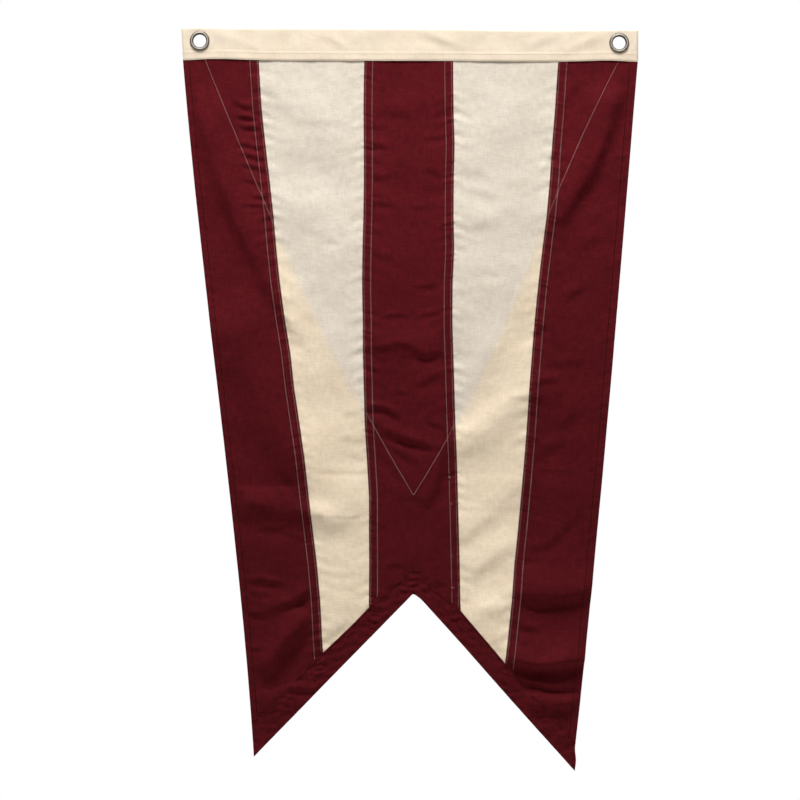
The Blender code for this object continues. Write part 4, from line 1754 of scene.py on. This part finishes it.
@dataclass
class Stitching:
    """Rows of stitches in one thread, built as one joined mesh."""

    name: str
    finish: ThreadFinish
    slot: str
    pitch: float = 0.0032
    stations: tuple[float, ...] = (-0.5, -0.34, 0.0, 0.34, 0.5)
    girths: tuple[float, ...] = (0.0, 0.8, 1.0, 0.8, 0.0)
    lifts: tuple[float, ...] = (-0.00010, 0.00012, 0.00018, 0.00012, -0.00010)
    sides: int = 5
    first_seed: int = 400
    pitch_spread: float = 0.00009
    length_range: Point = (0.88, 1.08)
    aside_spread: float = 0.00005
    rows: list[StitchRow] = field(default_factory=list)

    def add(self, path: Array, face: Face, surface: Surface, stitch: Stitch) -> None:
        """Add a row along a path of x and z."""
        self.rows.append(StitchRow(np.asarray(path, dtype=float), face, surface, stitch))

    def row_points(self, row: StitchRow, seed: int) -> Array:
        """Work out one row's stitches.

        Args:
            row: The row.
            seed: Seed of the stitches' small unevenness.

        Returns:
            Points by stitch, station, side and coordinate. The end stations meet in a point.
        """
        steps = np.linalg.norm(np.diff(row.path, axis=0), axis=1)
        run = np.concatenate(((0.0,), np.cumsum(steps)))
        count = int(run[-1] // self.pitch)
        draw = np.random.default_rng(seed)
        centres = (np.arange(count) + 0.5) * self.pitch + draw.normal(0.0, self.pitch_spread, count)
        lengths = row.stitch.length * draw.uniform(*self.length_range, count)
        places = np.clip(centres[:, None] + lengths[:, None] * np.array(self.stations), 0.0, run[-1])
        x = np.interp(places, run, row.path[:, 0])
        z = np.interp(places, run, row.path[:, 1])
        aside = draw.normal(0.0, self.aside_spread, count)[:, None]
        tangent = np.stack((x[:, -1] - x[:, 0], z[:, -1] - z[:, 0]), axis=-1)
        tangent /= np.linalg.norm(tangent, axis=1)[:, None] + TINY
        normal = np.stack((-tangent[:, 1], tangent[:, 0]), axis=-1)
        x, z = x + aside * normal[:, :1], z + aside * normal[:, 1:]
        sign = row.face.value
        y = row.surface(x, z) + sign * np.array(self.lifts)
        angles = 2.0 * math.pi * (np.arange(self.sides) + 0.5) / self.sides
        girth = np.array(self.girths)[None, :, None]
        wide = np.cos(angles) * girth * row.stitch.width / 2.0
        high = np.sin(angles) * girth * row.stitch.height / 2.0
        px = x[:, :, None] + wide * normal[:, 0][:, None, None]
        pz = z[:, :, None] + wide * normal[:, 1][:, None, None]
        py = y[:, :, None] + sign * high
        return np.stack((px, py, pz), axis=-1)

    def build(self) -> None:
        """Build and dress all the rows as one mesh."""
        blocks = [self.row_points(row, self.first_seed + i) for i, row in enumerate(self.rows)]
        signs = [np.full(len(block), row.face.value) for block, row in zip(blocks, self.rows)]
        points, sign = np.concatenate(blocks), np.concatenate(signs)
        stations = len(self.stations) - 2
        vertices, faces = [], []
        each = stations * self.sides + 2
        for k, stitch in enumerate(points):
            base = k * each
            vertices.append(stitch[0, :1])
            vertices.append(stitch[1:-1].reshape(-1, 3))
            vertices.append(stitch[-1, :1])
            outward = sign[k] > 0
            for face in self.stitch_faces(stations):
                face = tuple(base + i for i in face)
                faces.append(face[::-1] if outward else face)
        obj = add_mesh(self.name, np.concatenate(vertices), faces)
        dress(obj, self.finish, self.slot)

    def stitch_faces(self, stations: int) -> list[tuple[int, ...]]:
        """Join one stitch's points by a fan at each end and rings of quads between.

        Args:
            stations: How many rings of points there are.

        Returns:
            The point numbers of each face.
        """
        faces = []
        last = 1 + (stations - 1) * self.sides
        for i in range(self.sides):
            j = (i + 1) % self.sides
            faces.append((0, 1 + j, 1 + i))
            for ring in range(stations - 1):
                here, there = 1 + ring * self.sides, 1 + (ring + 1) * self.sides
                faces.append((here + i, here + j, there + j, there + i))
            faces.append((last + i, last + j, stations * self.sides + 1))
        return faces


@dataclass
class Sewing:
    """All the flag's stitching in white, maroon and natural thread, the maroon painted near black as shadow.
    """

    pattern: Pattern
    plies: Plies
    heading: Heading
    edge_row: float = 0.0023
    facing_in: float = 0.0031
    tucked: float = 0.0030
    clear: float = 0.0008
    lowest: float = -0.985
    patch_soft: float = 0.0005
    heading_rows: tuple[float, ...] = (0.0019, 0.0094)
    heading_margin: float = 0.0020
    steps: int = 300

    def seam_path(self, index: int, inward: float) -> Array:
        """Lay a row beside a seam, from the heading to the facing.

        Args:
            index: The seam's number.
            inward: How far the row lies from the seam line into the red cloth.

        Returns:
            The row's path.
        """
        z = np.linspace(self.tucked - self.pattern.heading_depth, self.lowest, self.steps * 3)
        x = self.pattern.seam(index, z) + inward * self.pattern.red_side[index]
        keep = (z < self.pattern.heading_lower(x)) & (z > self.pattern.facing_z(x) + self.clear)
        return np.column_stack((x[keep], z[keep]))

    def outside_patch(self, path: Array) -> Array:
        """Return the part of a path that the patch doesn't hide."""
        hidden = self.pattern.inside_patch(path[:, 0], path[:, 1], self.patch_soft) > 0.5
        return path[~hidden]

    def patch_path(self, left: bool) -> Array:
        """Lay the patch's row down one side.

        Args:
            left: Whether it is the left side.

        Returns:
            The row's path.
        """
        heights = self.pattern.row_heights_left if left else self.pattern.row_heights_right
        places = self.pattern.row_left if left else self.pattern.row_right
        z = np.linspace(heights[-1], heights[0] + self.tucked, self.steps)
        return np.column_stack((through_points(heights, places, z), z))

    def facing_path(self, left: bool) -> Array:
        """Lay the row along one facing, below its inner line.

        Args:
            left: Whether it is the left facing.

        Returns:
            The row's path.
        """
        corner = self.pattern.tip_left if left else self.pattern.tip_right
        x = np.linspace(self.pattern.notch[0], corner[0], self.steps)
        z = self.pattern.facing_z(x) - self.facing_in
        keep = z > self.pattern.cut_edge(x)
        return np.column_stack((x[keep], z[keep]))

    def heading_path(self, height: float) -> Array:
        """Lay a row along the heading.

        Args:
            height: The row's height above the lower edge.

        Returns:
            The row's path.
        """
        margin = self.heading_margin
        left, right = self.pattern.heading_left + margin, self.pattern.heading_right - margin
        x = np.linspace(left, right, self.steps * 2)
        return np.column_stack((x, self.pattern.heading_lower(x) + height))

    def build(self) -> None:
        """Build the rows of each thread."""
        pattern, plies = self.pattern, self.plies
        white = Stitching("white_stitching", WHITE_THREAD, "cream_cotton")
        for index in range(1, pattern.last):
            for inward, stitch in ((self.edge_row, EDGE_STITCH), (pattern.stitched[index], SEAM_STITCH)):
                path = self.seam_path(index, inward)
                white.add(path, Face.FRONT, plies.front, stitch)
                white.add(self.outside_patch(path), Face.BACK, plies.back, stitch)
        for left in (True, False):
            path = self.patch_path(left)
            white.add(path, Face.FRONT, plies.front, PATCH_STITCH)
            white.add(path, Face.BACK, plies.patch_back, PATCH_STITCH)
        white.build()
        # Painted shadow: this near-black thread stands for the shade along the hems and the facings' rows.
        maroon = Stitching("maroon_stitching_painted_shadow", MAROON_THREAD_PAINTED_SHADOW, "maroon_cotton")
        for index in (0, pattern.last):
            path = self.seam_path(index, pattern.stitched[index])
            for face, surface in ((Face.FRONT, plies.front), (Face.BACK, plies.back)):
                maroon.add(path, face, surface, HEM_STITCH)
        for left in (True, False):
            path = self.facing_path(left)
            for face, surface in ((Face.FRONT, plies.facing_front), (Face.BACK, plies.back)):
                maroon.add(path, face, surface, HEM_STITCH)
        maroon.build()
        natural = Stitching("natural_stitching", NATURAL_THREAD, "heading_canvas")
        for height in self.heading_rows:
            for face in Face:
                natural.add(self.heading_path(height), face, self.heading.surface(face), CANVAS_STITCH)
        natural.build()


@dataclass
class Studio:
    """The pale floor, the soft lights, the white surroundings and the camera at the photograph's angle."""

    distance: float = 4.0
    lens: float = 134.6
    sensor: float = 36.0
    camera_x: float = -0.0131
    camera_z: float = -0.4959
    floor_z: float = -1.35
    floor_half: float = 2.0
    key_place: Triple = (-0.25, -1.30, 2.90)
    key_aim: Triple = (0.0, 0.0, -0.45)
    key_size: float = 1.0
    key_power: float = 216.0
    back_place: Triple = (0.9, 2.2, 2.0)
    back_power: float = 90.0
    back_size: float = 1.6
    surround: float = 0.17
    surround_colour: Colour = (1.0, 0.98, 0.96)
    white: Colour = (1.0, 1.0, 1.0)

    def add_light(self, name: str, place: Sequence[float], size: float, power: float) -> None:
        """Add a square area light aimed at the flag.

        Args:
            name: The light's name.
            place: Where it stands.
            size: Its side.
            power: Its power in watts.
        """
        data = bpy.data.lights.new(name, "AREA")
        data.shape = "SQUARE"
        data.size = size
        data.energy = power
        light = bpy.data.objects.new(name, data)
        bpy.context.scene.collection.objects.link(light)
        light.location = place
        aim = Vector(self.key_aim) - light.location
        light.rotation_euler = aim.to_track_quat("-Z", "Y").to_euler()

    def add_world(self) -> None:
        """Make the surroundings: white where the camera sees them, dimmer as a light."""
        bench = NodeBench(bpy.data.worlds.new("studio_white"))
        seen = bench.node("ShaderNodeLightPath", None, None, "Is Camera Ray")
        lit = {"Color": opaque(self.surround_colour), "Strength": self.surround}
        lit = bench.node("ShaderNodeBackground", None, lit)
        white = bench.node("ShaderNodeBackground", None, {"Color": opaque(self.white)})
        mixed = bench.node("ShaderNodeMixShader", None, {0: seen, 1: lit, 2: white})
        bpy.context.scene.world = bench.close("ShaderNodeOutputWorld", mixed)

    def add_floor(self) -> None:
        """Add the floor below the hanging flag."""
        half = self.floor_half
        corners = np.array([(-half, -half), (half, -half), (half, half), (-half, half)])
        vertices = np.column_stack((corners, np.full(4, self.floor_z)))
        floor = add_mesh("studio_floor", vertices, [(0, 1, 2, 3)])
        floor.data.materials.append(material_of(FLOOR))

    def add_camera(self) -> None:
        """Add the camera, level and square on to the flag."""
        data = bpy.data.cameras.new("camera")
        data.lens = self.lens
        data.sensor_width = self.sensor
        camera = bpy.data.objects.new("camera", data)
        bpy.context.scene.collection.objects.link(camera)
        camera.location = (self.camera_x, -self.distance, self.camera_z)
        camera.rotation_euler = (UPRIGHT, 0.0, 0.0)
        bpy.context.scene.camera = camera

    def build(self) -> None:
        """Set up the studio."""
        self.add_floor()
        self.add_world()
        self.add_light("key_light", self.key_place, self.key_size, self.key_power)
        self.add_light("back_light", self.back_place, self.back_size, self.back_power)
        self.add_camera()
        bpy.context.scene.view_settings.view_transform = "Standard"


@dataclass
class Flag:
    """The whole flag, from its pattern to its stitching."""

    pattern: Pattern = field(default_factory=Pattern)
    eyelets: tuple[Eyelet, ...] = (Eyelet("left", (-0.2809, -0.0157)), Eyelet("right", (0.2799, -0.0185)))

    def build(self) -> None:
        """Build every sub-assembly in the order it is sewn."""
        hang = Hang(self.pattern)
        plies = Plies(self.pattern, hang)
        heading = Heading(self.pattern, hang, tuple(eyelet.centre for eyelet in self.eyelets))
        heading.build()
        for eyelet in self.eyelets:
            eyelet.build()
        Stripes(self.pattern, plies).build()
        Facings(self.pattern, plies).build()
        HoistTriangle(self.pattern, plies).build()
        Sewing(self.pattern, plies, heading).build()


def main() -> None:
    """Build the flag and its studio."""
    logging.basicConfig(level=logging.INFO, format="%(message)s")
    Flag().build()
    Studio().build()


if __name__ == "__main__":
    main()
